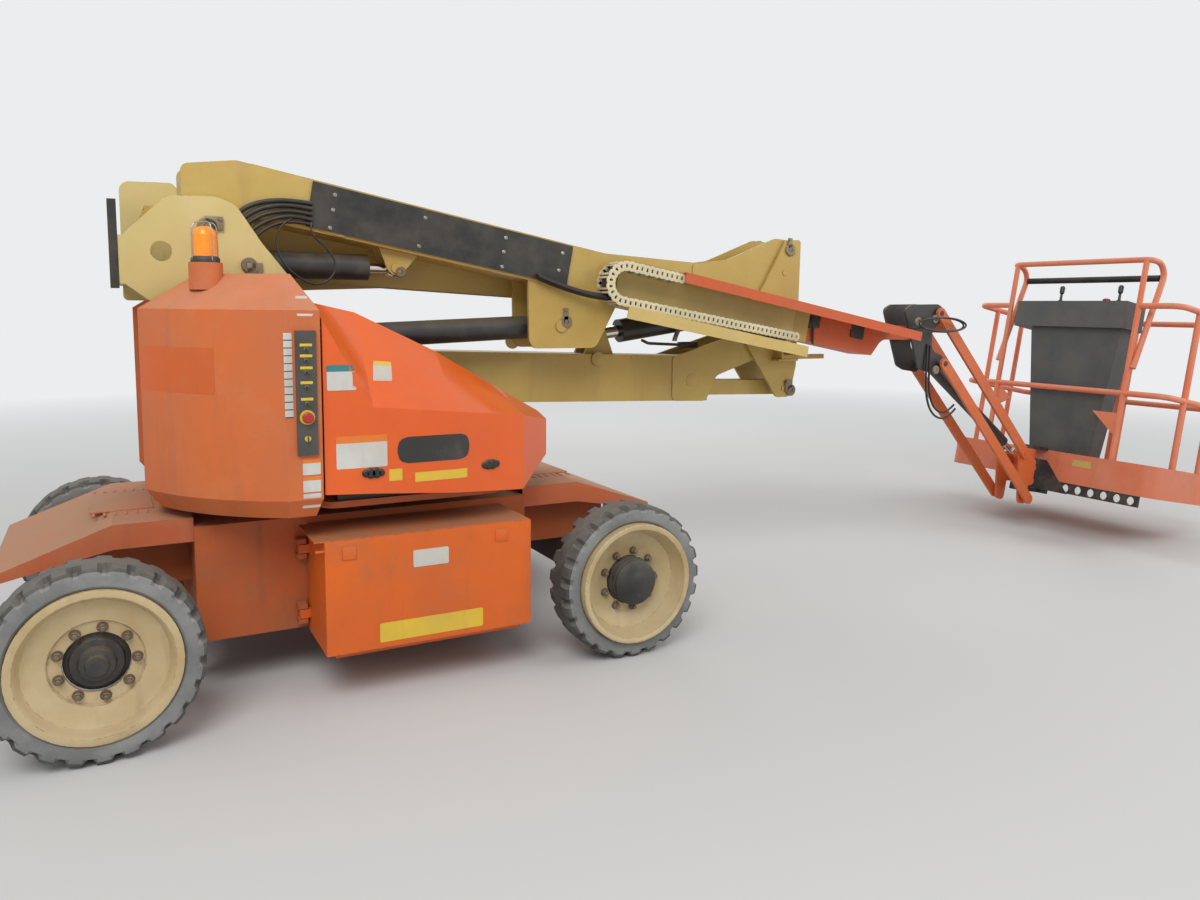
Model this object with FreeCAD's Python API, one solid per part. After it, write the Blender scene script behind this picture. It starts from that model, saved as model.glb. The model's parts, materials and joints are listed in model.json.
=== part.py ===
import FreeCAD, Part
import math
import os

os.makedirs("parts", exist_ok=True)

Vec = FreeCAD.Vector

# Articulating boom lift, in millimetres, +Z up, +X towards the platform.
# Every X below is measured from the slew axis. The pieces are moved along X once, when they
# are written, so that the origin lies on the floor under the middle of the whole machine.

# Chassis and running gear
wheelbase = 2000.0
overall_width = 1750.0
tyre_diameter = 660.0
tyre_width = 178.0
rim_diameter = 508.0
rim_wall = 8.0
rim_lip = 11.0
steer_disc_set = 40.0
drive_disc_set = 92.0
hub_diameter = 150.0
hub_set = 34.0
kingpin_offset = 196.0
kingpin_diameter = 40.0
axle_height = tyre_diameter / 2
chassis_bottom = 212.0
chassis_top = 660.0
chassis_half_width = 450.0
chassis_half_length = 672.0
spine_half_width = 230.0
plate = 8.0
knuckle_arm = 130.0

# Battery boxes hung on the sides of the chassis
battery_x = (-268.0, 548.0)
battery_outer_y = 795.0
battery_z = (204.0, 635.0)
battery_wall = 5.0
battery_hinge_x = -292.0
hinge_pin_diameter = 22.0
battery_tray_depth = 26.0

# Turntable
slew_ring_diameter = 760.0
slew_ring_height = 52.0
deck_bottom = 722.0
deck_thickness = 25.0
tail_radius = 890.0
tail_crown = 90.0
body_half_width = tail_radius - tail_crown
tunnel_half_width = 335.0
seam_x = -262.0
seam_gap = 10.0
counterweight_bottom = 728.0
counterweight_shoulder = 1470.0
counterweight_top = 1600.0
hood_wall = 6.0

# Tower linkage: pins as (x, z) where the machine stands folded
tower_y = 140.0
tower_boom_width = 208.0
boom_wall = 8.0
ear_plate = 6.0
side_gap = 6.0
upright_plate = 15.0
lower_root_pin = (-640.0, 1390.0)
lower_tip_pin = (2385.0, 1300.0)
lower_link_offset = (135.0, -266.0)
upper_tip_pin = (-733.0, 1685.0)
upper_root_pin = (2561.0, 1830.0)
upper_link_offset = (-60.0, -130.0)
tower_rod_pin = (1330.0, 1345.0)
tower_barrel_pin = (2300.0, 1484.0)
tower_pin_diameter = 50.0
link_pin_diameter = 36.0
lower_boom_depth = 246.0
upper_boom_depth = 255.0
link_width = 100.0
lower_link_depth = 84.0
upper_link_depth = 60.0

# Main boom, telescoping fly and what moves them
boom_angle = 10.3
boom_y = -120.0
boom_pivot = (-570.0, 1780.0)
boom_axis_height = 182.0
boom_width = 210.0
boom_depth = 205.0
boom_length = 3070.0
fly_gap = 6.0
fly_reach = 628.0
fly_slant = 110.0
fly_inside = 1500.0
fly_travel = 1050.0
lift_base_pin = (-330.0, 1340.0)
lift_rod_pin = (962.0, 1400.0)
level_base_pin = (-431.0, 1654.0)
level_rod_pin = (184.0, 1650.0)
cylinder_pin_diameter = 34.0

# Jib and platform
bracket_reach = (898.2, 284.1)
jib_pin_reach = (143.0, 125.0)
jib_pin_spacing = (26.0, -305.0)
jib_length = 1270.0
jib_angle = -46.6
jib_pin_diameter = 30.0
platform_tilt = 10.0
platform_width = 1510.0
platform_shift = -25.0
platform_depth = 760.0
platform_corner = 90.0
platform_reach = (269.4, -200.2)
rail_diameter = 38.0
post_diameter = 35.0
rail_height = 1145.0
mid_drop = 569.0
post_half = 467.0
side_post_x = 230.0
raise_by = 300.0
loop_reach = 185.0
loop_drop = 705.0
loop_outset = 30.0
toe_height = 200.0
rotator_standoff = 150.0
rotator_radius = 62.0
rotator_flat = 14.0                 # machined off its front, where the jib cylinder's eye passes

# Fits
pin_fit = 0.5
seat_gap = 0.3


# Plain shapes

def block(x, y, z):
    return Part.makeBox(x[1] - x[0], y[1] - y[0], z[1] - z[0], Vec(x[0], y[0], z[0]))


def bar(start, end, radius):
    start, end = Vec(*start), Vec(*end)
    return Part.makeCylinder(radius, (end - start).Length, start, end - start)


def cross_pin(centre, y, diameter):
    return bar((centre[0], y[0], centre[1]), (centre[0], y[1], centre[1]), diameter / 2)


def outline(points, radius, place):
    # Closed wire through 2-D points with each corner rounded; a point may carry its own radius.
    corners = []
    count = len(points)
    for i, point in enumerate(points):
        here = Vec(point[0], point[1], 0)
        before = Vec(points[i - 1][0], points[i - 1][1], 0)
        after = Vec(points[(i + 1) % count][0], points[(i + 1) % count][1], 0)
        size = point[2] if len(point) > 2 else radius
        back, ahead = (before - here).normalize(), (after - here).normalize()
        half = back.getAngle(ahead) / 2
        if size <= 0 or abs(half - math.pi / 2) < 1e-4:
            corners.append((here, here, here))
            continue
        reach = size / math.tan(half)
        middle = here + (back + ahead).normalize() * (size / math.sin(half) - size)
        corners.append((here + back * reach, middle, here + ahead * reach))
    edges = []
    for i, (first, middle, last) in enumerate(corners):
        if (last - first).Length > 1e-6:
            edges.append(Part.Arc(place(first), place(middle), place(last)).toShape())
        following = corners[(i + 1) % count][0]
        if (following - last).Length > 1e-6:
            edges.append(Part.LineSegment(place(last), place(following)).toShape())
    return Part.Wire(edges)


def side_plate(points, y, radius=0.0):
    wire = outline(points, radius, lambda p: Vec(p.x, y[0], p.y))
    return Part.Face(wire).extrude(Vec(0, y[1] - y[0], 0))


def plan_plate(points, z, radius=0.0):
    wire = outline(points, radius, lambda p: Vec(p.x, p.y, z[0]))
    return Part.Face(wire).extrude(Vec(0, 0, z[1] - z[0]))


def cross_plate(points, x, radius=0.0):
    wire = outline(points, radius, lambda p: Vec(x[0], p.x, p.y))
    return Part.Face(wire).extrude(Vec(x[1] - x[0], 0, 0))


def tube(points, diameter, closed=False):
    # Bent round tube of straight runs and round bends; each inner point carries its bend's radius.
    corners = [Vec(*p[:3]) for p in points]
    count = len(corners)
    parts = []
    last = None if closed else corners[0]
    first_start = None
    for i in range(count) if closed else range(1, count - 1):
        here = corners[i]
        back = (corners[i - 1] - here).normalize()
        ahead = (corners[(i + 1) % count] - here).normalize()
        half = back.getAngle(ahead) / 2
        radius = points[i][3]
        reach = radius / math.tan(half)
        start, end = here + back * reach, here + ahead * reach
        if last is None:
            first_start = start
        else:
            parts.append(bar(last, start, diameter / 2))
        centre = here + (back + ahead).normalize() * (radius / math.sin(half))
        face = Part.Face(Part.Wire(Part.makeCircle(diameter / 2, start, back)))
        turn = 180.0 - 2 * math.degrees(half)
        parts.append(face.revolve(centre, ahead.cross(back), turn))
        last = end
    finish = first_start if closed else corners[-1]
    parts.append(bar(last, finish, diameter / 2))
    return union(*parts)


def union(*shapes):
    return shapes[0].multiFuse(list(shapes[1:])).removeSplitter()


def mirrored(shape):
    return shape.mirror(Vec(0, 0, 0), Vec(0, 1, 0))


def along(start, end, distance):
    length = math.hypot(end[0] - start[0], end[1] - start[1])
    return (start[0] + (end[0] - start[0]) * distance / length,
            start[1] + (end[1] - start[1]) * distance / length)


def offset(point, shift):
    return (point[0] + shift[0], point[1] + shift[1])


def on_boom(run, rise):
    # Point at a run along the main boom from its pivot and a rise square to it.
    angle = math.radians(boom_angle)
    return (boom_pivot[0] + run * math.cos(angle) + rise * math.sin(angle),
            boom_pivot[1] - run * math.sin(angle) + rise * math.cos(angle))


# Pins carried by the telescoping boom's end
bracket_pin = on_boom(boom_length + bracket_reach[0], bracket_reach[1])
jib_upper_pin = offset(bracket_pin, jib_pin_reach)


pieces = {}


def keep(name, *solids):
    pieces[name] = solids[0] if len(solids) == 1 else Part.makeCompound(list(solids))


# Wheels: solid rubber tyres on dished steel discs

wheel_y = overall_width / 2 - tyre_width / 2
rim_radius = rim_diameter / 2


def tyre(x, side):
    outer = tyre_diameter / 2
    half = tyre_width / 2
    profile = [(-half, rim_radius), (-half, outer), (half, outer), (half, rim_radius)]
    wire = Part.makePolygon([Vec(0, a, b) for a, b in profile + profile[:1]])
    body = Part.Face(wire).revolve(Vec(0, 0, 0), Vec(0, 1, 0), 360)
    body.translate(Vec(x, side * wheel_y, axle_height))
    return body


def wheel(x, side, disc_set, hub_reach, hub_radius):
    # The rim's outline is turned about the axle; y grows outwards.
    half = tyre_width / 2
    r = rim_radius - seat_gap
    lip = rim_radius + rim_lip
    disc = half - disc_set
    table = [(half + 4, lip), (half + 4, r - rim_wall), (half - 22, r - rim_wall - 6),
             (disc + 26, r - rim_wall - 18), (disc, r - 46), (disc, 52),
             (disc - 10, 52), (disc - 10, r - 52), (disc + 14, r - rim_wall - 22),
             (-half + 20, r - rim_wall), (-half + 2, r - rim_wall), (-half + 2, r),
             (half - 0.3 + seat_gap * 2, r), (half - 0.3 + seat_gap * 2, lip)]
    wire = Part.makePolygon([Vec(0, a, b) for a, b in table + table[:1]])
    body = Part.Face(wire).revolve(Vec(0, 0, 0), Vec(0, 1, 0), 360)
    hub = union(bar((0, disc - hub_set, 0), (0, disc + hub_reach * 0.35, 0), hub_radius),
                bar((0, disc, 0), (0, disc + hub_reach, 0), hub_radius * 0.8))
    body = union(body, hub)
    if side < 0:
        body = mirrored(body)
    body.translate(Vec(x, side * wheel_y, axle_height))
    return body


steer_x, drive_x = -wheelbase / 2, wheelbase / 2
sides = (("near", -1), ("far", 1))
hub_face = wheel_y + tyre_width / 2 - steer_disc_set
for name, side in sides:
    keep("tyre_steer_" + name, tyre(steer_x, side))
    keep("tyre_drive_" + name, tyre(drive_x, side))
    keep("wheel_steer_" + name, wheel(steer_x, side, steer_disc_set, 38, hub_diameter / 2 - 8))
    keep("wheel_drive_" + name, wheel(drive_x, side, drive_disc_set, 118, hub_diameter / 2))

# Chassis: welded box with a narrow nose between the steered wheels

kingpin_y = wheel_y - kingpin_offset
knuckle_gap = 6.0
fork_height = 74.0
beam_half = 70.0
beam_reach = 150.0
main_box = block((-chassis_half_length, chassis_half_length),
                 (-chassis_half_width, chassis_half_width), (chassis_bottom, chassis_top))
inner_box = block((-chassis_half_length + plate, chassis_half_length - plate),
                  (-chassis_half_width + plate, chassis_half_width - plate),
                  (chassis_bottom - 1, chassis_top - plate))
nose_box = block((steer_x - beam_reach, -chassis_half_length + 1), (-spine_half_width, spine_half_width),
                 (axle_height + beam_half, chassis_top - 60))
tail_box = block((chassis_half_length - 1, drive_x + beam_reach), (-spine_half_width - 60, spine_half_width + 60),
                 (axle_height + beam_half, chassis_top - 60))
chassis = union(main_box.cut(inner_box), nose_box, tail_box)
for x in (-chassis_half_length + plate, chassis_half_length - 2 * plate):
    chassis = union(chassis, block((x, x + plate), (-chassis_half_width + 1, chassis_half_width - 1),
                                   (chassis_bottom, chassis_top - plate)))

# Tie-down lugs low on both ends of the box, each with an upright bore
lug_bore = 32.0
lug_reach = 62.0
lug_thickness = 20.0
lug_y = 330.0
lug_half = 40.0
lug_bore_set = 30.0
for end in (-1, 1):
    root_x = end * (chassis_half_length - 1)
    tip_x = end * (chassis_half_length + lug_reach)
    for side in (-1, 1):
        middle = side * lug_y
        lug = plan_plate([(root_x, middle - lug_half), (tip_x, middle - lug_half, 30),
                          (tip_x, middle + lug_half, 30), (root_x, middle + lug_half)],
                         (chassis_bottom, chassis_bottom + lug_thickness))
        bore_x = tip_x - end * lug_bore_set
        chassis = union(chassis, lug.cut(bar((bore_x, middle, 0), (bore_x, middle, 700), lug_bore / 2)))
keep("chassis_frame", chassis)

# Steer axle: beam with a fork at each end for the kingpins
beam_end = kingpin_y + 42
steer_beam = union(
    block((steer_x - 60, steer_x + 60), (-kingpin_y + 70, kingpin_y - 70), (axle_height - beam_half, axle_height + beam_half - seat_gap)),
    *[union(block((steer_x - 45, steer_x + 45), sorted((side * (kingpin_y - 71), side * beam_end)),
                  (axle_height - fork_height, axle_height - fork_height + 20)),
            block((steer_x - 45, steer_x + 45), sorted((side * (kingpin_y - 71), side * beam_end)),
                  (axle_height + fork_height - 20, axle_height + fork_height)),
            block((steer_x - 45, steer_x + 45), sorted((side * (kingpin_y - 90), side * (kingpin_y - 60))),
                  (axle_height - fork_height, axle_height + fork_height)),
            bar((steer_x, side * kingpin_y, axle_height - fork_height - 12),
                (steer_x, side * kingpin_y, axle_height + fork_height + 12), kingpin_diameter / 2))
      for side in (-1, 1)])
keep("steer_axle", steer_beam)

for name, side in sides:
    post = bar((steer_x, side * kingpin_y, axle_height - fork_height + 20 + knuckle_gap / 2),
               (steer_x, side * kingpin_y, axle_height + fork_height - 20 - knuckle_gap / 2), 38)
    stub = bar((steer_x, side * kingpin_y, axle_height), (steer_x, side * (hub_face - hub_set - 10), axle_height), 30)
    drum = bar((steer_x, side * (kingpin_y + 75), axle_height), (steer_x, side * (hub_face - hub_set - seat_gap), axle_height), 62)
    arm = side_plate([(steer_x, axle_height - 18), (steer_x + knuckle_arm + 18, axle_height - 18),
                      (steer_x + knuckle_arm + 18, axle_height - 2), (steer_x, axle_height - 2)],
                     sorted((side * (kingpin_y - 22), side * (kingpin_y + 22))))
    knuckle = union(post, stub, drum, arm)
    knuckle = knuckle.cut(bar((steer_x, side * kingpin_y, 0), (steer_x, side * kingpin_y, 700),
                              kingpin_diameter / 2 + pin_fit))
    keep("steer_knuckle_" + name, knuckle)

tie_y = kingpin_y
tie_x = steer_x + knuckle_arm
tie = union(bar((tie_x, -tie_y, axle_height + 12), (tie_x, tie_y, axle_height + 12), 12),
            *[bar((tie_x, s * tie_y, axle_height - 2 + seat_gap), (tie_x, s * tie_y, axle_height + 26), 18) for s in (-1, 1)])
keep("tie_rod", tie)

# Drive axle: beam with a gearbox and motor behind each wheel
drive_flange_y = wheel_y + tyre_width / 2 - drive_disc_set - hub_set
drive = union(block((drive_x - 65, drive_x + 65), (-drive_flange_y + 120, drive_flange_y - 120),
                    (axle_height - beam_half, axle_height + beam_half - seat_gap)),
              *[union(bar((drive_x, side * (drive_flange_y - 130), axle_height),
                          (drive_x, side * (drive_flange_y - seat_gap), axle_height), 88))
                for side in (-1, 1)])
keep("drive_axle", drive)

# Sheet covers over both axles, with a slope down to each end of the machine
cover_top = 692.0
cover_foot = chassis_top - 60 + seat_gap


def axle_cover(x_root, x_bend, x_end, half, z_end):
    top = [(x_root, cover_top), (x_bend, cover_top), (x_end, z_end)]
    sheet = top + [(x_end, z_end - 30), (x_bend, cover_foot), (x_root, cover_foot)]
    solid = side_plate(sheet, (-half, half))
    inner = [(x_root, cover_top - plate), (x_bend, cover_top - plate),
             (x_end + (12 if x_end < x_root else -12), z_end - plate),
             (x_end + (12 if x_end < x_root else -12), z_end - 60),
             (x_bend, cover_top - 120), (x_root, cover_top - 120)]
    return solid.cut(side_plate(inner, (-half + 5, half - 5)))


steer_cover = axle_cover(-chassis_half_length, steer_x + 60, steer_x - tyre_diameter / 2 + 5, 430, 545)
drive_cover = axle_cover(chassis_half_length, drive_x - 60, drive_x + tyre_diameter / 2, 430, 560)
keep("axle_covers", steer_cover, drive_cover)

# Battery boxes: open-backed steel boxes on a vertical hinge, with the cells as one block
for name, side in sides:
    inner_y = chassis_half_width + 12
    shell = block(battery_x, (inner_y, battery_outer_y), battery_z)
    shell = shell.cut(block((battery_x[0] + battery_wall, battery_x[1] - battery_wall),
                            (inner_y - 1, battery_outer_y - battery_wall),
                            (battery_z[0] + battery_wall, battery_z[1] - battery_wall)))
    tray = block((battery_x[0] + 40, battery_x[1] - 30), (inner_y + 30, battery_outer_y - 40),
                 (battery_z[0] - battery_tray_depth, battery_z[0] + 1))
    lugs = [block((battery_hinge_x - 16, battery_x[0] + 1), (inner_y + 8, inner_y + 40), (z, z + 34))
            for z in (battery_z[0] + 60, battery_z[1] - 110)]
    shell = union(shell, tray, *lugs)
    hinge_y = inner_y + 24
    shell = shell.cut(bar((battery_hinge_x, hinge_y, 0), (battery_hinge_x, hinge_y, 700),
                          hinge_pin_diameter / 2 + pin_fit))
    cells = block((battery_x[0] + battery_wall + 14, battery_x[1] - battery_wall - 14),
                  (inner_y + 14, battery_outer_y - battery_wall - 10),
                  (battery_z[0] + battery_wall, battery_z[1] - 90))
    ears = []
    for z in (battery_z[0] + 60, battery_z[1] - 110):
        for low, high in ((z - 22, z - 3), (z + 37, z + 56)):
            ears.append(block((battery_hinge_x - 22, battery_hinge_x + 14),
                              (chassis_half_width - 1, hinge_y + 14), (low, high)))
        ears.append(bar((battery_hinge_x, hinge_y, z - 22), (battery_hinge_x, hinge_y, z + 56),
                        hinge_pin_diameter / 2))
    hinge = union(*ears)
    if side < 0:
        shell, cells, hinge = mirrored(shell), mirrored(cells), mirrored(hinge)
    keep("battery_box_" + name, shell)
    keep("battery_cells_" + name, cells)
    pieces["chassis_frame"] = union(pieces["chassis_frame"], hinge)

# Slew bearing between chassis and turntable
keep("slew_bearing", bar((0, 0, chassis_top), (0, 0, chassis_top + slew_ring_height), slew_ring_diameter / 2))

# Turntable deck with the two plates that carry the tower
tower_half = tower_boom_width / 2 + ear_plate
inner_face = tower_half + side_gap
outer_face = inner_face + upright_plate
plate_bands = ((tower_y - outer_face, tower_y - inner_face), (tower_y + inner_face, tower_y + outer_face))
deck_top = deck_bottom + deck_thickness
lower_link_root = offset(lower_root_pin, lower_link_offset)
lower_link_tip = offset(lower_tip_pin, lower_link_offset)
upper_link_root = offset(upper_root_pin, upper_link_offset)
upper_link_tip = offset(upper_tip_pin, upper_link_offset)

tunnel = tunnel_half_width - seat_gap
deck = plan_plate([(-780, -tunnel, 40), (-780, tunnel, 40), (-240, tunnel), (-240, 640, 60), (470, 640, 120),
                   (640, 360, 60), (640, -360, 60), (470, -640, 120), (-240, -640, 60), (-240, -tunnel)],
                  (deck_bottom, deck_top))
wall_plate = side_plate([(-800, deck_top - 1), (-300, deck_top - 1), (-300, 1240, 40), (-800, 1240, 40)],
                        (tunnel - 12, tunnel))
deck = union(deck, wall_plate, mirrored(wall_plate))
tower_plate = [(-770, deck_top - 1), (-330, deck_top - 1), (-430, 1130, 60), (-560, 1400, 60),
               (-600, 1472, 50), (-690, 1472, 60), (-735, 1390, 60), (-770, 1100)]
frame = union(deck, *[side_plate(tower_plate, band) for band in plate_bands])
pin_bands = (tower_y - outer_face - 4, tower_y + outer_face + 4)
frame = union(frame, cross_pin(lower_root_pin, pin_bands, tower_pin_diameter),
              cross_pin(lower_link_root, pin_bands, link_pin_diameter),
              block((-740, -480), (tower_y - inner_face - 1, tower_y + inner_face + 1), (deck_top - 1, deck_top + 60)))
collar = bar((0, 0, chassis_top + slew_ring_height + seat_gap), (0, 0, deck_bottom + 1), slew_ring_diameter / 2 - 30)
keep("turntable_frame", union(frame, collar))

# Counterweights: cast blocks that follow the tail circle and rise in a sloped shoulder


def tail_outline(inset, z):
    reach = tail_radius - inset
    flat = body_half_width - inset
    corner_x = -math.sqrt(reach ** 2 - flat ** 2)
    inboard = tunnel_half_width + inset * 0.15
    start_x = -math.sqrt(reach ** 2 - inboard ** 2)
    angle = (math.atan2(-inboard, start_x) + math.atan2(-flat, corner_x)) / 2
    middle = Vec(-abs(reach * math.cos(angle)), -abs(reach * math.sin(angle)), z)
    front = seam_x - seam_gap / 2 - inset * 0.4
    edges = [Part.Arc(Vec(start_x, -inboard, z), middle, Vec(corner_x, -flat, z)).toShape(),
             Part.LineSegment(Vec(corner_x, -flat, z), Vec(front, -flat, z)).toShape(),
             Part.LineSegment(Vec(front, -flat, z), Vec(front, -inboard, z)).toShape(),
             Part.LineSegment(Vec(front, -inboard, z), Vec(start_x, -inboard, z)).toShape()]
    return Part.Wire(edges)


shoulder_inset = 170.0
foot_inset = 46.0
skirt = 70.0
counterweight = union(
    Part.makeLoft([tail_outline(foot_inset, counterweight_bottom), tail_outline(0, counterweight_bottom + skirt)], True, True),
    Part.makeLoft([tail_outline(0, counterweight_bottom + skirt), tail_outline(0, counterweight_shoulder)], True, True),
    Part.makeLoft([tail_outline(0, counterweight_shoulder), tail_outline(shoulder_inset, counterweight_top)], True, True))
beacon_seat = (-600.0, -470.0)
pedestal = bar((beacon_seat[0], beacon_seat[1], counterweight_top - 60),
               (beacon_seat[0], beacon_seat[1], counterweight_top + 38), 58)
keep("counterweight_near", union(counterweight, pedestal))
keep("counterweight_far", mirrored(counterweight))
beacon_z = counterweight_top + 38 + seat_gap
keep("beacon", union(bar((*beacon_seat, beacon_z), (*beacon_seat, beacon_z + 45), 46),
                     bar((*beacon_seat, beacon_z + 45), (*beacon_seat, beacon_z + 150), 38)))

# Control panel on the front edge of the near counterweight
panel_x = (seam_x - 92, seam_x - 22)
keep("control_panel", block(panel_x, (-body_half_width - 12, -body_half_width - seat_gap), (960, 1400)))

# Hoods: moulded shells from the seam to a blunt nose
# columns: x, top, crest y, crease y, crease z, bottom
hood_table = [(seam_x + seam_gap / 2, 1500, 560, 780, 1440, 806),
              (-80, 1462, 520, 782, 1118, 796),
              (250, 1306, 500, 772, 1085, 768),
              (560, 1132, 460, 690, 1048, 740),
              (745, 1030, 430, 520, 1004, 850)]
hood_inner_y = 348.0
hinge_y = 362.0
hinge_line = ((-250.0, 1456.0), (700.0, 1010.0))
hinge_stations = ((60.0, 160.0), (860.0, 960.0))
hinge_pin_radius = 7.0
hinge_fit = 0.9


def on_hinge(distance, y):
    x, z = along(*hinge_line, distance)
    return (x, y, z)


def hood_knuckles():
    # Tubes on the hood that turn on the turntable's pins, each on a short strap under the skin.
    parts = []
    for low, high in hinge_stations:
        parts.append(bar(on_hinge(low, hinge_y), on_hinge(high, hinge_y), 13))
    return parts


def hood_supports():
    # Side panel of the turntable with a lug and a pin at each hinge.
    top = [offset(hinge_line[0], (0, -26)), offset(hinge_line[1], (0, -26))]
    panel = side_plate([(-250, deck_top - 1), (600, deck_top - 1), (700, 900, 40), top[1], top[0]], (hinge_y - 24, hinge_y - 16))
    parts = [panel]
    for low, high in hinge_stations:
        for start, end in ((low - 24, low - 10), (high + 10, high + 24)):
            lug = bar(on_hinge(start, hinge_y), on_hinge(end, hinge_y), 12)
            x, _, z = on_hinge((start + end) / 2, hinge_y)
            parts += [lug, block((x - 5, x + 5), (hinge_y - 20, hinge_y + 2), (z - 60, z - 2))]
        parts.append(bar(on_hinge(low - 22, hinge_y), on_hinge(high + 22, hinge_y), hinge_pin_radius))
    return parts



def hood_section(row, inset, drop, x):
    top, crest, crease_y, crease_z, bottom = row[1:]
    inboard = hood_inner_y - (60 if inset else 0)
    points = [(inboard, bottom - drop), (inboard, top - inset), (crest - inset * 0.6, top - inset),
              (crease_y - inset, crease_z - inset * 0.5), (crease_y - inset, bottom - drop)]
    return Part.makePolygon([Vec(x, y, z) for y, z in points + points[:1]])


def hood():
    outer = Part.makeLoft([hood_section(row, 0, 0, row[0]) for row in hood_table], True, True)
    xs = [row[0] for row in hood_table]
    xs[0] -= 20
    xs[-1] -= hood_wall * 1.5
    inner = Part.makeLoft([hood_section(row, hood_wall, 80, x) for row, x in zip(hood_table, xs)], True, True)
    shell = union(outer.cut(inner), *hood_straps(), *hood_knuckles())
    return shell.cut(bar(on_hinge(0, hinge_y), on_hinge(1100, hinge_y), hinge_pin_radius + hinge_fit))


def hood_straps():
    straps = []
    for low, high in hinge_stations:
        x, _, z = on_hinge((low + high) / 2, hinge_y)
        skin = [row for row in hood_table if row[0] <= x][-1]
        ahead = hood_table[hood_table.index(skin) + 1]
        share = (x - skin[0]) / (ahead[0] - skin[0])
        top = skin[1] + (ahead[1] - skin[1]) * share
        straps.append(block((x - 20, x + 20), (hinge_y - 4, hinge_y + 4), (z + 9, top - 2)))
    return straps


turntable = union(pieces["turntable_frame"], *hood_supports())
pieces["turntable_frame"] = union(turntable, *[mirrored(p) for p in hood_supports()])
hood_far = hood()
keep("hood_far", hood_far)
keep("hood_near", mirrored(hood_far))

# Machinery under the hoods, as plain blocks on the deck
keep("machinery", block((-180, 330), (-620, -385), (deck_top, 1080)), block((-180, 300), (385, 620), (deck_top, 1050)))

# Lower tower boom: inverted channel with ears that rise to the pins


def channel_boom(axis_start, axis_end, depth, width, wall, y):
    # Channel open below, between two points of its middle line.
    length = math.hypot(axis_end[0] - axis_start[0], axis_end[1] - axis_start[1])
    outer = block((0, length), (-width / 2, width / 2), (-depth / 2, depth / 2))
    inner = block((-1, length + 1), (-width / 2 + wall, width / 2 - wall), (-depth / 2 - 1, depth / 2 - wall))
    channel = outer.cut(inner)
    angle = math.degrees(math.atan2(axis_end[1] - axis_start[1], axis_end[0] - axis_start[0]))
    channel.rotate(Vec(0, 0, 0), Vec(0, 1, 0), -angle)
    channel.translate(Vec(axis_start[0], y, axis_start[1]))
    return channel


def ear_pair(points, half, y, thickness, radius):
    plates = []
    for low, high in ((-half, -half + thickness), (half - thickness, half)):
        plates.append(side_plate(points, (y + low, y + high), radius))
    return plates


lower_axis = ((-700.0, 1191.0), (2000.0, 1104.0))
lower_body = channel_boom(*lower_axis, lower_boom_depth, tower_boom_width, boom_wall, tower_y)
tower_half_wall = tower_boom_width / 2
lower_tip_ear = [(1760, 1226, 20), (1760, 988, 30), (1984, 979, 40), (2050, 1118, 60), (2330, 1208, 60),
                 (2470, 1250, 60), (2470, 1380, 60), (2330, 1390, 60)]
lower_root_ear = [(-715, 1310, 20), (-715, 1085, 20), (-250, 1060, 20), (-250, 1285, 20), (-480, 1320, 80),
                  (-570, 1430, 50), (-600, 1462, 40), (-680, 1462, 50), (-712, 1390, 40)]
lower_boom = union(lower_body,
                   *ear_pair(lower_tip_ear, tower_half, tower_y, ear_plate + boom_wall, 20),
                   *ear_pair(lower_root_ear, tower_half, tower_y, ear_plate + boom_wall, 20))
bore = tower_pin_diameter + 2 * pin_fit
wide = (tower_y - 200, tower_y + 200)
link_reach = math.hypot(*lower_link_offset)
swept = side_plate([lower_root_pin, (lower_root_pin[0] + 270, lower_root_pin[1] - 400),
                    (lower_root_pin[0] - 400, lower_root_pin[1] - 400), (lower_root_pin[0] - 400, lower_root_pin[1] - 40)], wide)
kept_hub = cross_pin(lower_root_pin, (wide[0] - 1, wide[1] + 1), 2 * (link_reach - link_pin_diameter / 2 - 10))
lower_boom = lower_boom.cut(swept.cut(kept_hub))
for pin in (lower_root_pin, lower_tip_pin):
    lower_boom = lower_boom.cut(cross_pin(pin, wide, bore))
lug_points = [(tower_rod_pin[0] - 90, 1238), (tower_rod_pin[0] + 90, 1232),
              (tower_rod_pin[0] + 34, tower_rod_pin[1] + 34, 26), (tower_rod_pin[0] - 34, tower_rod_pin[1] + 34, 26)]
lug_plates = ear_pair(lug_points, 62, tower_y, 14, 0)
heads = [cross_pin(tower_rod_pin, band, 52)
         for band in ((tower_y - 72, tower_y - 61), (tower_y + 61, tower_y + 72))]
lower_boom = union(lower_boom, *lug_plates, *heads)
keep("lower_boom", lower_boom)


def timing_link(start, end, width, depth, y, pin_diameter):
    # Box link with a rounded boss at each pin.
    body = channel_boom(start, end, depth, width, 6, y)
    bosses = [cross_pin(p, (y - width / 2, y + width / 2), depth) for p in (start, end)]
    link = union(body, *bosses)
    for p in (start, end):
        link = link.cut(cross_pin(p, (y - 200, y + 200), pin_diameter + 2 * pin_fit))
    return link


keep("lower_link", timing_link(lower_link_root, lower_link_tip, link_width, lower_link_depth, tower_y, link_pin_diameter))

# Mid upright: two plates, wide in the middle, joined by a web at their outer edge
mid_plate = [(2505, 1882, 20), (2612, 1888, 20), (2606, 1166, 60), (2564, 982, 30), (2468, 982, 30),
             (2236, 1300, 60), (2236, 1440, 60), (2364, 1640, 60)]
mid = union(*[side_plate(mid_plate, band) for band in plate_bands],
            block((2588, 2603), (tower_y - inner_face - 1, tower_y + inner_face + 1), (1180, 1690)))
mid = union(mid, cross_pin(lower_tip_pin, pin_bands, tower_pin_diameter),
            cross_pin(lower_link_tip, pin_bands, link_pin_diameter),
            cross_pin(upper_root_pin, pin_bands, tower_pin_diameter),
            cross_pin(upper_link_root, pin_bands, link_pin_diameter))
keep("mid_upright", mid)

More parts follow.
